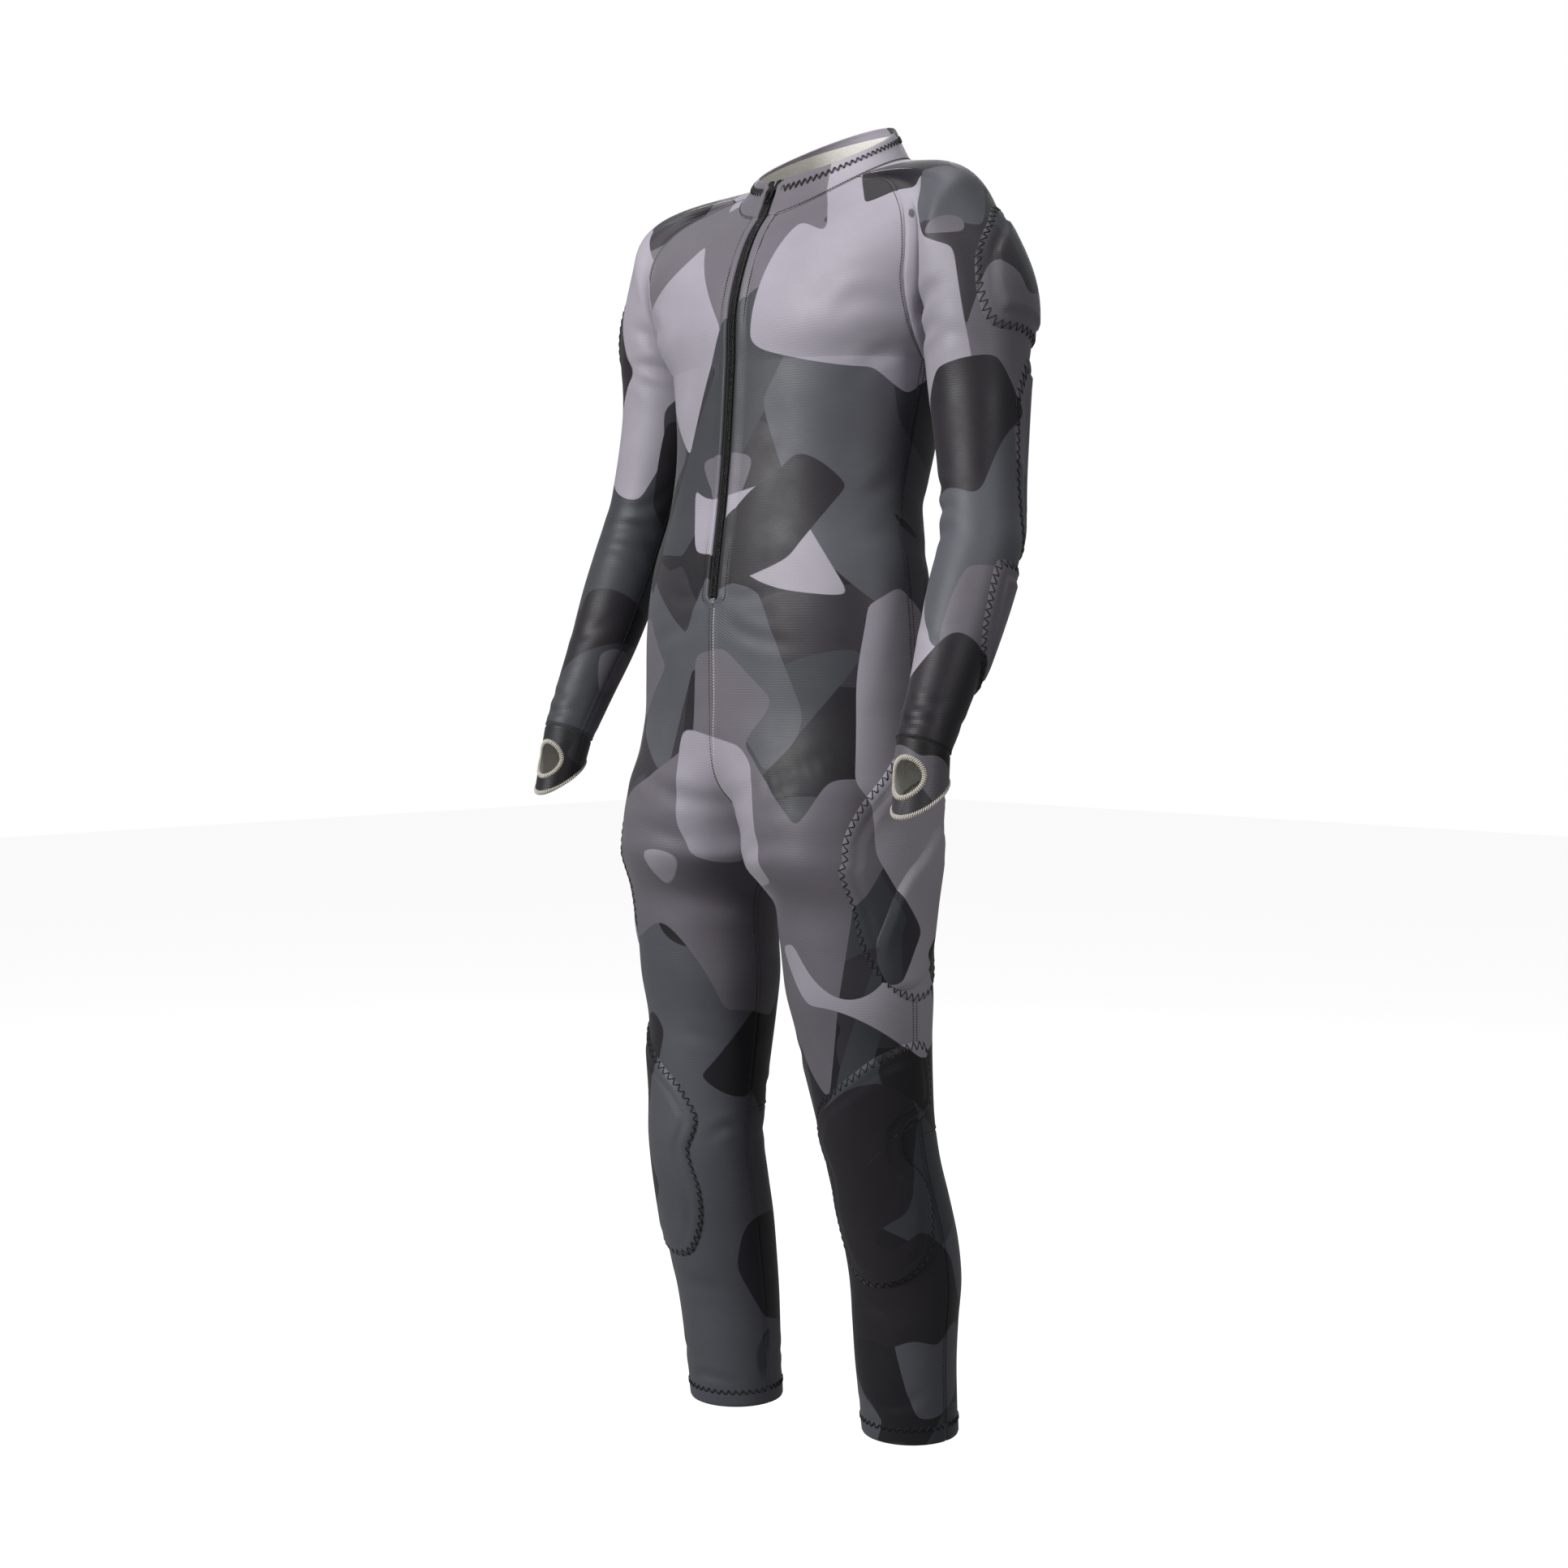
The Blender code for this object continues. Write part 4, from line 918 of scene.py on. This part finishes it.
def add_panels():
    made = {}
    columns = graded(np.linspace(0, 1, 67), (0.003, 0.008))
    calf_columns = graded(np.linspace(0, 1, 55), (0.004, 0.011))
    knee = row_of(KNEE_SEAM_LEVEL)
    all_round = (True, True, True, True)
    for word, side in SIDES:

        def panel(name, surface, *rest, **more):
            made[name + "_" + word] = shell(f"{name}_cloth_{word}", surface, side, *rest, **more)

        def rows_down(surface, last):
            return np.concatenate([even(surface, side, 0.5, 0, 1)[:-1], even(surface, side, 0.5, 1, last)])

        panel("front", front_half, columns, rows_down(front_half, 2), (True, False, True, False), fly_relief,
              turned_up=HEM_TURN, warp=open_for_zip(side))
        panel("back", back_half, columns, rows_down(back_half, knee), all_round)
        panel("calf", back_half, calf_columns, even(back_half, side, 0.5, knee, 2), (True, True, True, False),
              hem_relief, turned_up=HEM_TURN)
        panel("sleeve", sleeve_point, ROUND_SLEEVE, even(sleeve_point, side, 3.0, 0, 11), all_round)
    turns = graded(np.linspace(0, 2 * math.pi, 181), (0.01, 0.02))
    low = math.asin(ZIP_HALF / 0.080)
    turns = low + turns / (2 * math.pi) * (2 * math.pi - 2 * low)
    made["collar"] = shell(
        "collar_cloth", collar_point, 1, turns, even(collar_point, 1, 1.5, 1, 0, 0.0025),
        (False, False, False, True), collar_relief, turned_up=COLLAR_TURN, warp=notch_for_zip)
    for name, piece in made.items():
        paint(piece.data, piece["outer_points"])
        dress(piece, [name])


# Pads

def closed_curve(spots):
    """A smooth closed curve through some places."""
    spots = np.array(spots, float)
    before, after, beyond = np.roll(spots, 1, 0), np.roll(spots, -1, 0), np.roll(spots, -2, 0)
    t = np.linspace(0, 1, 12, endpoint=False)[None, :, None]
    points = 0.5 * (
        2 * spots[:, None] + (after - before)[:, None] * t
        + (2 * before - 5 * spots + 4 * after - beyond)[:, None] * t**2
        + (3 * spots - before - 3 * after + beyond)[:, None] * t**3)
    return points.reshape(-1, 2)


def outline_on(surface, side, spots, count):
    """The outline's places, evenly spaced on the cloth, and its length."""
    curve = closed_row(closed_curve(spots))
    run = distances(surface(side, curve[:, 0], curve[:, 1]))
    return along(np.linspace(0, run[-1], count, endpoint=False), run, curve), run[-1]


def pad_rise(distance, height, bevel, inset, plate):
    """Height of a padded piece by the distance in from its outline, with a raised plate further in."""
    rise = (height + PAD_SUNK) * np.sin(np.clip(distance / bevel, 0, 1) * math.pi / 2) ** 0.8 - PAD_SUNK
    if plate:
        groove = 0.0004 * np.exp(-(((distance - inset + 0.001) / 0.0015) ** 2))
        rise = rise + plate * step01((distance - inset) / 0.004) - groove
    return rise


# Node, surface and outline, then height, width of the bevel, how far in the plate starts, its height, and the lift
# of the whole piece off the cloth
PADS = (
    ("hip_pad", block_column, HIP_OUTLINE, 0.0036, 0.010, 0.015, 0.0014, 0.0),
    ("knee_pad", block_column, KNEE_OUTLINE, 0.0040, 0.010, 0.015, 0.0014, 0.0),
    ("shoulder_pad", sleeve_point, SHOULDER_OUTLINE, 0.0032, 0.011, 0.017, 0.0034, 0.0),
    ("elbow_pad", sleeve_point, ELBOW_OUTLINE, 0.0030, 0.010, 0.014, 0.0026, 0.0),
    ("forearm_pad", sleeve_point, FOREARM_OUTLINE, 0.0030, 0.010, 0.014, 0.0022, 0.0),
    ("hip_fin", block_column, FIN_OUTLINE, 0.0050, 0.011, 0.0, 0.0, 0.0048),
)
PAD_SUNK = 0.0006
ROUND = 132
RINGS = np.sin(np.linspace(0, 1, 22) * math.pi / 2)
ZIG = 0.0086
ZIG_REACH = (0.0006, 0.0076)
NOTCH_LEVEL = -0.92
NOTCH_DRAW = 0.32
KNEE_FAR_COLUMN = 6.9


def drawn_out(places, back=False):
    """Knee pad places with the notch drawn out, so that the whole outline is in sight of the middle."""
    column, level = places[..., 0], places[..., 1]
    scale = 1 + NOTCH_DRAW * step01((NOTCH_LEVEL - level) / 0.04)
    if back:
        scale = 1 / scale
    return np.stack([KNEE_FAR_COLUMN - (KNEE_FAR_COLUMN - column) * scale, level], axis=-1)


def pad_surface(surface, side, spots, sizes, share, count=ROUND):
    """Points of a pad at some shares from its middle to its outline."""
    height, bevel, inset, plate, lift = sizes
    outline, length = outline_on(surface, side, spots, count)
    rim = drawn_out(outline) if spots is KNEE_OUTLINE else outline
    middle = rim.mean(axis=0)
    where = middle + (rim - middle)[None] * np.asarray(share)[:, None, None]
    if spots is KNEE_OUTLINE:
        where = drawn_out(where, True)
    points, normal = cloth(surface, side, where[..., 0], where[..., 1])
    edge = surface(side, outline[:, 0], outline[:, 1])
    flat = points.reshape(-1, 3)
    distance = np.full(len(flat), 1.0)
    for spot in edge:
        distance = np.minimum(distance, np.linalg.norm(flat - spot, axis=1))
    distance = distance.reshape(points.shape[:2])
    distance = np.where(np.asarray(share)[:, None] > 0.9999, 0.0, distance)
    rise = pad_rise(distance, height, bevel, inset, plate) + lift
    return points, normal, rise, length


def add_pads():
    for name, surface, spots, *sizes in PADS:
        for word, side in SIDES:
            points, normal, rise, _ = pad_surface(surface, side, spots, sizes, RINGS[1:])
            low = points - (0.0007 - sizes[-1]) * normal
            high = points + rise[..., None] * normal
            rings, around = points.shape[:2]
            middle = high[0].mean(axis=0)
            base = low[0].mean(axis=0)
            corners = np.concatenate([high.reshape(-1, 3), low.reshape(-1, 3), [middle, base]])
            flip = np.dot(np.cross(high[0, 1] - high[0, 0], high[1, 0] - high[0, 0]), normal[0, 0]) > 0
            count = rings * around
            faces = grid_faces(rings, around, 0, True, flip).tolist()
            faces += grid_faces(rings, around, count, True, not flip).tolist()
            for i in range(around):
                j = (i + 1) % around
                last = (rings - 1) * around
                cap = [(2 * count, i, j), (2 * count + 1, count + j, count + i)]
                rim = (last + i, last + count + i, last + count + j, last + j)
                faces += [face[::-1] if flip else face for face in cap] + [rim[::-1] if flip else rim]
            piece = make_object(name + "_cloth_" + word, corners, faces, (PRINT,))
            paint(piece.data)
            dress(piece, [name + "_" + word])


# Threads

ZIG_RADIUS = 0.00058
STITCH_PITCH = 0.0028
BESIDE_SEAM = 0.003
BESIDE_ZIP = 0.0098


def stitches(name, starts, ends, outward, radius, rise, look):
    """Short arched threads between pairs of points, in one mesh."""
    starts, ends, outward = (np.asarray(values, float).reshape(-1, 3) for values in (starts, ends, outward))
    along = unit(ends - starts)
    beside = unit(np.cross(along, outward))
    outward = unit(np.cross(beside, along))
    rings = []
    for t, lift, swell in ((0.0, -0.6, 0.7), (0.22, 0.55, 1.0), (0.78, 0.55, 1.0), (1.0, -0.6, 0.7)):
        centre = starts + (ends - starts) * t + outward * (rise * lift)
        for turn in (0.25, 0.75, 1.25, 1.75):
            angle = turn * math.pi
            rings.append(centre + radius * swell * (math.cos(angle) * beside + math.sin(angle) * outward))
    points = np.stack(rings, axis=1)
    base = []
    for first in (0, 4, 8):
        for k in range(4):
            a, b = first + k, first + (k + 1) % 4
            base.append((a, b, b + 4, a + 4))
    base += [(3, 2, 1, 0), (12, 13, 14, 15)]
    faces = (np.array(base)[None] + 16 * np.arange(len(points))[:, None, None]).reshape(-1, 4)
    made = make_object(name, points.reshape(-1, 3), faces.tolist(), (look,))
    dress(made, [])
    return made


def zigzag(name, low, high, outward, look, closed=True):
    """Zigzag thread between two rows of points."""
    count = len(low)
    path = np.empty((2 * count, 3))
    path[0::2], path[1::2] = low, high
    out = np.repeat(outward, 2, axis=0)
    after = np.roll(path, -1, axis=0)
    last = 2 * count if closed else 2 * count - 1
    return stitches(name, path[:last], after[:last], out[:last], ZIG_RADIUS, 0.0006, look)


def add_pad_threads():
    for name, surface, spots, *sizes in PADS:
        if name == "hip_fin":
            continue
        for word, side in SIDES:
            length = outline_on(surface, side, spots, 24)[1]
            count = int(length / ZIG)
            reach = 0.5 * length / math.pi
            rows = []
            for inwards in ZIG_REACH:
                share = [1 - inwards / reach]
                points, normal, rise, _ = pad_surface(surface, side, spots, sizes, share, 2 * count)
                on = np.maximum(rise, 0.0) + 0.0003
                rows.append((points + on[..., None] * normal)[0])
            zigzag(name + "_zigzag_" + word, rows[0][0::2], rows[1][1::2], normal[0][0::2], DARK_THREAD)


def running(name, surface, side, a, b, look, offset=0.0, radius=0.00040):
    """A line of short stitches along places on a surface."""
    points, normal = cloth(surface, side, a, b)
    run = distances(points)
    starts = np.arange(int(run[-1] / STITCH_PITCH)) * STITCH_PITCH
    out = along(starts, run, normal)
    first = along(starts, run, points) + offset * out
    last = along(starts + 0.75 * STITCH_PITCH, run, points) + offset * out
    return stitches(name, first, last, out, radius, 0.0003, look)


def beside_edge(surface, side, rows):
    """Share of a panel a little in from its side edge."""
    near = np.linalg.norm(surface(side, 0.03, rows) - surface(side, 0.0, rows), axis=1)
    return 0.03 * BESIDE_SEAM / near


def add_seam_threads():
    armhole = np.linspace(0, 1, 400)
    side_seam = np.linspace(1, 1.985, 900)
    inseam = np.linspace(row_of(-0.70), 1.985, 700)
    zip_rows = np.linspace(0, row_of(ZIP_BOTTOM), 700)
    below_zip = np.linspace(row_of(ZIP_BOTTOM - 0.006), row_of(CROTCH_LEVEL), 500)
    above_knee_seam = row_of(KNEE_SEAM_LEVEL + BESIDE_SEAM)
    for word, side in SIDES:
        centre_look = PALE_THREAD if side > 0 else GREY_THREAD
        for name, surface, column, row, look, *lift in (
            ("armhole_front_stitch", front_half, beside_edge(front_half, side, armhole), armhole, DARK_THREAD),
            ("armhole_back_stitch", back_half, beside_edge(back_half, side, armhole), armhole, DARK_THREAD),
            ("side_stitch_front", front_half, 0.012, side_seam, GREY_THREAD),
            ("side_stitch_back", back_half, 0.012, side_seam, GREY_THREAD),
            ("inseam_stitch", front_half, 0.986, inseam, GREY_THREAD),
            ("sleeve_stitch", sleeve_point, 10.8, np.linspace(0.1, 10.95, 800), GREY_THREAD),
            ("knee_seam_stitch", back_half, np.linspace(0.02, 0.98, 200), above_knee_seam, GREY_THREAD),
            ("wrist_stitch", sleeve_point, np.linspace(-10.9, 10.9, 200), 10.9, DARK_THREAD),
            ("zip_stitch", front_half, beside_zip(side, zip_rows, BESIDE_ZIP), zip_rows, DARK_THREAD),
            ("centre_stitch", front_half, 0.992, below_zip, centre_look, 0.0005, 0.00045),
            ("seat_stitch", back_half, 0.988, np.linspace(0.01, row_of(CROTCH_LEVEL), 700), GREY_THREAD),
        ):
            running(f"{name}_{word}", surface, side, column, row, look, *lift)
    turns = np.linspace(0.13, 2 * math.pi - 0.13, 400)
    running("neck_stitch_upper", collar_point, 1, turns, 0.045, DARK_THREAD)
    add_zigzag_rows()


def add_zigzag_rows():
    turns = np.linspace(0.16, 2 * math.pi - 0.16, 76)
    low, normal = cloth(collar_point, 1, turns, 0.60)
    high, _ = cloth(collar_point, 1, turns + 0.04, 0.80)
    zigzag("collar_zigzag", low + 0.0006 * normal, high + 0.0009 * normal, normal, DARK_THREAD, False)
    share = np.linspace(0.02, 0.97, 21)
    for word, side in SIDES:
        for surface, part in ((front_half, "front"), (back_half, "calf")):
            low, normal = cloth(surface, side, share, row_of(HEM_LEVEL + 0.0135))
            high, _ = cloth(surface, side, share + 0.022, row_of(HEM_LEVEL + 0.0190))
            low, high = low + 0.0008 * normal, high + 0.0004 * normal
            zigzag(f"hem_zigzag_{part}_{word}", low, high, normal, DARK_THREAD, False)


# The zip

def centre_front(level):
    level = np.asarray(level, float)
    upper = smooth(FRONT_LINE, np.maximum(level, ARMPIT_LEVEL))[..., 0]
    lower = -block_point(1, 1.0, np.minimum(level, ARMPIT_LEVEL))[..., 1]
    return np.where(level >= ARMPIT_LEVEL, upper, lower)


def zip_path():
    """Points down the zip from the collar's edge, and the way out of the cloth there."""
    collar = collar_point(1, np.zeros(16), np.linspace(0.985, 0.03, 16))
    level = np.linspace(FRONT_LINE[0][0] - 0.001, ZIP_BOTTOM, 210)
    path = np.concatenate([collar, place(0.0, centre_front(level), level)])
    down = unit(np.gradient(path, axis=0))
    return path, np.stack([0 * down[:, 0], down[:, 2], -down[:, 1]], axis=1)


SLIDER_RUN = 0.016
SLIDER_REACH = 0.004
TOOTH_PITCH = 0.0013
ZIP_ROWS = 340
ZIP_COLUMNS = 9
TAPE_LAP = 0.0035
TAPE_THICKNESS = 0.0006
CORD_ASIDE = 0.0031


def add_zip():
    path, out = zip_path()
    run = distances(path)
    end = run[-1]
    rows = np.linspace(0, end, ZIP_ROWS)
    centre = along(rows, run, path)
    outward = unit(along(rows, run, out))
    parting = 0.0030 * step01((SLIDER_RUN - rows) / SLIDER_RUN)
    end_round = np.sqrt(np.clip(1 - np.clip((rows - end + 0.007) / 0.007, 0, 1) ** 2, 0.02, 1))
    reach = ZIP_HALF + TAPE_LAP
    share = np.linspace(0, 1, ZIP_COLUMNS)
    high = -0.0010 + 0.0003 * np.exp(-(((share - 0.45) / 0.09) ** 2))
    count = ZIP_ROWS * ZIP_COLUMNS
    index = np.arange(count).reshape(ZIP_ROWS, ZIP_COLUMNS)
    for word, side in SIDES:
        x = parting[:, None] + share[None] * (reach * end_round[:, None] - parting[:, None])
        points = centre[:, None] + high[None, :, None] * outward[:, None]
        points[..., 0] += side * x
        back = points - TAPE_THICKNESS * outward[:, None]
        faces = np.concatenate([
            grid_faces(ZIP_ROWS, ZIP_COLUMNS, 0, turned=side > 0),
            grid_faces(ZIP_ROWS, ZIP_COLUMNS, count, turned=side < 0),
            *[rim_faces(line, count) for line in (index[0], index[-1], index[:, 0], index[:, -1])]])
        corners = np.concatenate([points.reshape(-1, 3), back.reshape(-1, 3)])
        piece = make_object("zip_tape_" + word, corners, faces.tolist(), (ZIP_TAPE,))
        dress(piece, ["zip_tape"] if side > 0 else [])
        spots = np.arange(0.001 + (0.5 if side > 0 else 0) * TOOTH_PITCH, end - 0.006, TOOTH_PITCH)
        way = along(spots, run, out)
        across = np.array([[side, 0, 0]])
        tooth = along(spots, run, path) + np.interp(spots, rows, parting)[:, None] * across
        stitches("zip_coil_" + word, tooth - 0.0006 * across + 0.0001 * way,
                 tooth + 0.0028 * across + 0.0001 * way, way, 0.00052, 0.0007, ZIP_COIL)
        cord = centre + (parting[:, None] + CORD_ASIDE) * across
        stitches("zip_cord_" + word, cord[:-1], cord[1:], outward[:-1], 0.00085, 0.0, ZIP_COIL)
    at_slider = np.array([SLIDER_RUN + SLIDER_REACH])
    add_slider(along(at_slider, run, path)[0], along(at_slider, run, out)[0])


SLIDER_OUTLINE = (
    (0.0050, 0.0075), (0.0054, 0.0050), (0.0050, 0.0020), (0.0038, -0.0020), (0.0036, -0.0060), (0.0030, -0.0075),
    (-0.0030, -0.0075), (-0.0036, -0.0060), (-0.0038, -0.0020), (-0.0050, 0.0020), (-0.0054, 0.0050),
    (-0.0050, 0.0075), (-0.0020, 0.0068), (0.0, 0.0054), (0.0020, 0.0068))
SLIDER_LAYERS = ((0.90, 0.0), (1.0, 0.0006), (1.0, 0.0016), (0.86, 0.0023))
BRIDGE_ARCH = ((-0.0052, 0.0018), (-0.0040, 0.0034), (0.0, 0.0040), (0.0034, 0.0034), (0.0044, 0.0018))
BRIDGE_SECTION = ((-0.0011, 0.0), (-0.0011, 0.0009), (0.0011, 0.0009), (0.0011, 0.0))


def add_slider(spot, way):
    """The slider's shield and the low bridge on it, at the top of the closed zip."""
    aside = np.array([1, 0, 0])
    out = unit(np.array([0.0, way[1], way[2]]))
    up = np.array([0.0, -out[2], out[1]])
    up = up if up[2] > 0 else -up
    centre = np.array([0.0, spot[1], spot[2]]) + 0.0008 * out
    points = []
    for scale, lift in SLIDER_LAYERS:
        points += [centre + scale * x * aside + scale * v * up + lift * out for x, v in SLIDER_OUTLINE]
    layers, count = len(SLIDER_LAYERS), len(SLIDER_OUTLINE)
    first = len(points)
    faces = grid_faces(layers, count, 0, True, True).tolist()
    faces.append(tuple(range(count)))
    faces.append(tuple(range(first - 1, first - count - 1, -1)))
    for v, lift in BRIDGE_ARCH:
        points += [centre + x * aside + v * up + (lift + low - 0.0004) * out for x, low in BRIDGE_SECTION]
    faces += grid_faces(len(BRIDGE_ARCH), len(BRIDGE_SECTION), first, True, True).tolist()
    made = make_object("zip_slider_body", points, faces, (ZIP_METAL,), smooth_shade=False)
    bevel = made.modifiers.new("bevel", "BEVEL")
    bevel.width = 0.0003
    bevel.segments = 2
    dress(made, ["zip_slider"])


# Cuffs and their overlocked edges

CORE_SIDES = 10
WRAP_STEPS = 12


def overlock(name, loop, inwards, outward, node_name, wraps):
    """Thread wrapped round an edge: a soft core and a coil over it. The core is coloured a darker grey than the
    thread, as painted shade between the wraps.
    """
    count = len(loop)
    points = []
    for turn in np.linspace(0, 2 * math.pi, CORE_SIDES, endpoint=False):
        inner, outer = 0.0010 + 0.0018 * math.cos(turn), -0.0006 + 0.0011 * math.sin(turn)
        points.append(loop + inwards * inner + outward * outer)
    points = np.stack(points, axis=1)
    index = np.arange(count * CORE_SIDES).reshape(count, CORE_SIDES)
    ahead, beside = np.roll(index, -1, axis=0), np.roll(index, -1, axis=1)
    faces = np.stack([index, beside, np.roll(ahead, -1, axis=1), ahead], axis=-1).reshape(-1, 4)
    core = make_object(name + "_core", points.reshape(-1, 3), faces.tolist(), (PAINTED_SHADE_CORE,))
    dress(core, [node_name])
    t = np.arange(wraps * WRAP_STEPS) / (wraps * WRAP_STEPS)
    turn = t * wraps * 2 * math.pi
    centre, way, out = (along(t * count, np.arange(count + 1), closed_row(row)) for row in (loop, inwards, outward))
    way, out = unit(way), unit(out)
    path = centre + way * (0.0010 + 0.0022 * np.cos(turn))[:, None] + out * (-0.0006 + 0.0015 * np.sin(turn))[:, None]
    middle = centre + 0.0010 * way - 0.0006 * out
    stitches(name + "_thread", path, np.roll(path, -1, axis=0), path - middle, 0.00050, 0.0, PALE_THREAD)


def cuff_at(x, level):
    """Column and place of points of the cuff's front at a distance out and a level."""
    low, high = np.zeros(len(x)), np.ones(len(x))
    rings = [(i, *ring) for i, ring in enumerate(CUFF_RINGS)]
    for _ in range(40):
        half_way = (low + high) / 2
        side, _, middle, out, _, _, _, rise = np.moveaxis(smooth(rings, half_way), -1, 0)
        turn = np.arccos(np.clip((x - side) / out, -1, 1))
        above = middle + np.sin(turn) * rise > level
        low, high = np.where(above, half_way, low), np.where(above, high, half_way)
    return turn / (2 * math.pi / SLEEVE_COLUMNS), (low + high) / 2


THUMB_REACH = HOLE_RADIUS - 0.0012


def cut_thumb_hole(piece, side):
    bpy.ops.mesh.primitive_cylinder_add(vertices=72, radius=THUMB_REACH, depth=0.05)
    cutter = bpy.context.object
    cutter.rotation_euler = (math.pi / 2, 0, 0)
    cutter.location = (side * HOLE_X, -0.18, HOLE_LEVEL)
    cut = piece.modifiers.new("thumb_hole", "BOOLEAN")
    cut.object = cutter
    bpy.context.view_layer.update()
    width, length, area = piece["cut_size"]
    whole = bpy.data.meshes.new_from_object(piece.evaluated_get(bpy.context.evaluated_depsgraph_get()))
    piece.modifiers.clear()
    piece.data = whole
    bpy.data.objects.remove(cutter)
    piece["cut_size"] = (width, length, area - math.pi * HOLE_RADIUS**2)


def add_cuffs():
    turns = np.linspace(0, 2 * math.pi, 120, endpoint=False)
    columns = np.linspace(-SLEEVE_COLUMNS / 2, SLEEVE_COLUMNS / 2, 132, endpoint=False)
    for word, side in SIDES:
        rows = even(cuff_point, side, 0.0, 0, 1, GRID / 2)
        piece = shell("cuff_cloth_" + word, cuff_point, side, ROUND_SLEEVE, rows, (True, True, True, False),
                      looks=(CUFF_PRINT, FLEECE))
        cut_thumb_hole(piece, side)
        paint(piece.data)
        dress(piece, ["cuff_" + word])
        places = cuff_at(HOLE_X + THUMB_REACH * np.cos(turns), HOLE_LEVEL + THUMB_REACH * np.sin(turns))
        loop, normal = cloth(cuff_point, side, *places)
        inwards = unit(loop - loop.mean(axis=0))
        inwards = unit(inwards - (inwards * normal).sum(axis=1, keepdims=True) * normal)
        overlock("thumb_edge_" + word, loop - 0.0008 * inwards, inwards, normal, "thumb_binding_" + word, 62)
        loop, normal = cloth(cuff_point, side, columns, 1.0)
        inwards = unit(cuff_point(side, columns, 0.96) - loop)
        overlock("hand_edge_" + word, loop - 0.0010 * inwards, inwards, normal, "hand_binding_" + word, 80)


# The stage

FLOOR_LEVEL = -1.40
FLOOR_REACH = 9
WORLD_LIGHT = 0.13

# Soft lights: name, place, aim, size and power
LIGHTS = (
    ("key", (-0.5, -2.9, 0.8), (0, 0, -0.5), 1.4, 88),
    ("near_side", (2.7, -0.7, 0.4), (0, 0, -0.5), 0.8, 14),
    ("top", (0.2, -0.2, 2.1), (0, 0, 0), 1.0, 26),
    ("behind", (-1.6, 2.2, 0.8), (0, 0, -0.5), 1.5, 18),
)


def linked(name, data, location, rotation):
    made = bpy.data.objects.new(name, data)
    made.location = location
    made.rotation_euler = rotation
    bpy.context.scene.collection.objects.link(made)
    return made


def add_floor():
    """A pale floor bright enough to read as the backdrop."""
    corners = [(x * FLOOR_REACH, y * FLOOR_REACH, FLOOR_LEVEL) for x, y in ((-1, -1), (1, -1), (1, 1), (-1, 1))]
    look = plain_cloth("floor_look", (0.30, 0.30, 0.30), 0.9, 3, 0.0001, 0.0, 0.005)
    floor = make_object("floor", corners, [(0, 1, 2, 3)], (look,))
    glow = look.node_tree.nodes["Principled BSDF"].inputs
    glow["Emission Color"].default_value = (1, 1, 1, 1)
    glow["Emission Strength"].default_value = 0.90
    floor.visible_diffuse = floor.visible_glossy = False


def add_world():
    """A white backdrop that lights the suit only a little."""
    world = bpy.data.worlds.new("studio")
    world.use_nodes = True
    tree = world.node_tree
    background = tree.nodes["Background"]
    background.inputs["Color"].default_value = (1, 1, 1, 1)
    seen = tree.nodes.new("ShaderNodeLightPath")
    strength = ranged(tree, seen.outputs["Is Camera Ray"], 0.0, 1.0, WORLD_LIGHT, 1.0)
    tree.links.new(strength, background.inputs["Strength"])
    bpy.context.scene.world = world


def add_stage():
    camera = bpy.data.cameras.new("camera")
    camera.sensor_width = 36
    camera.lens = 53.24
    angles = (math.radians(90 - 3.33), 0, math.radians(45))
    bpy.context.scene.camera = linked("camera", camera, (1.662, -1.732, -0.483), angles)
    add_floor()
    bpy.context.scene.view_settings.view_transform = "Standard"
    add_world()
    for name, where, aim, size, power in LIGHTS:
        light = bpy.data.lights.new(name, "AREA")
        light.size = size
        light.energy = power
        x, y, z = np.array(aim, float) - np.array(where, float)
        linked(name, light, where, (math.atan2(math.hypot(x, y), -z), 0, math.atan2(-x, y)))


def main():
    add_stage()
    add_panels()
    add_cuffs()
    add_pads()
    add_pad_threads()
    add_seam_threads()
    add_zip()
    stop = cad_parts["zip_stop"]
    stop.data.materials.clear()
    stop.data.materials.append(STOP_METAL)


main()
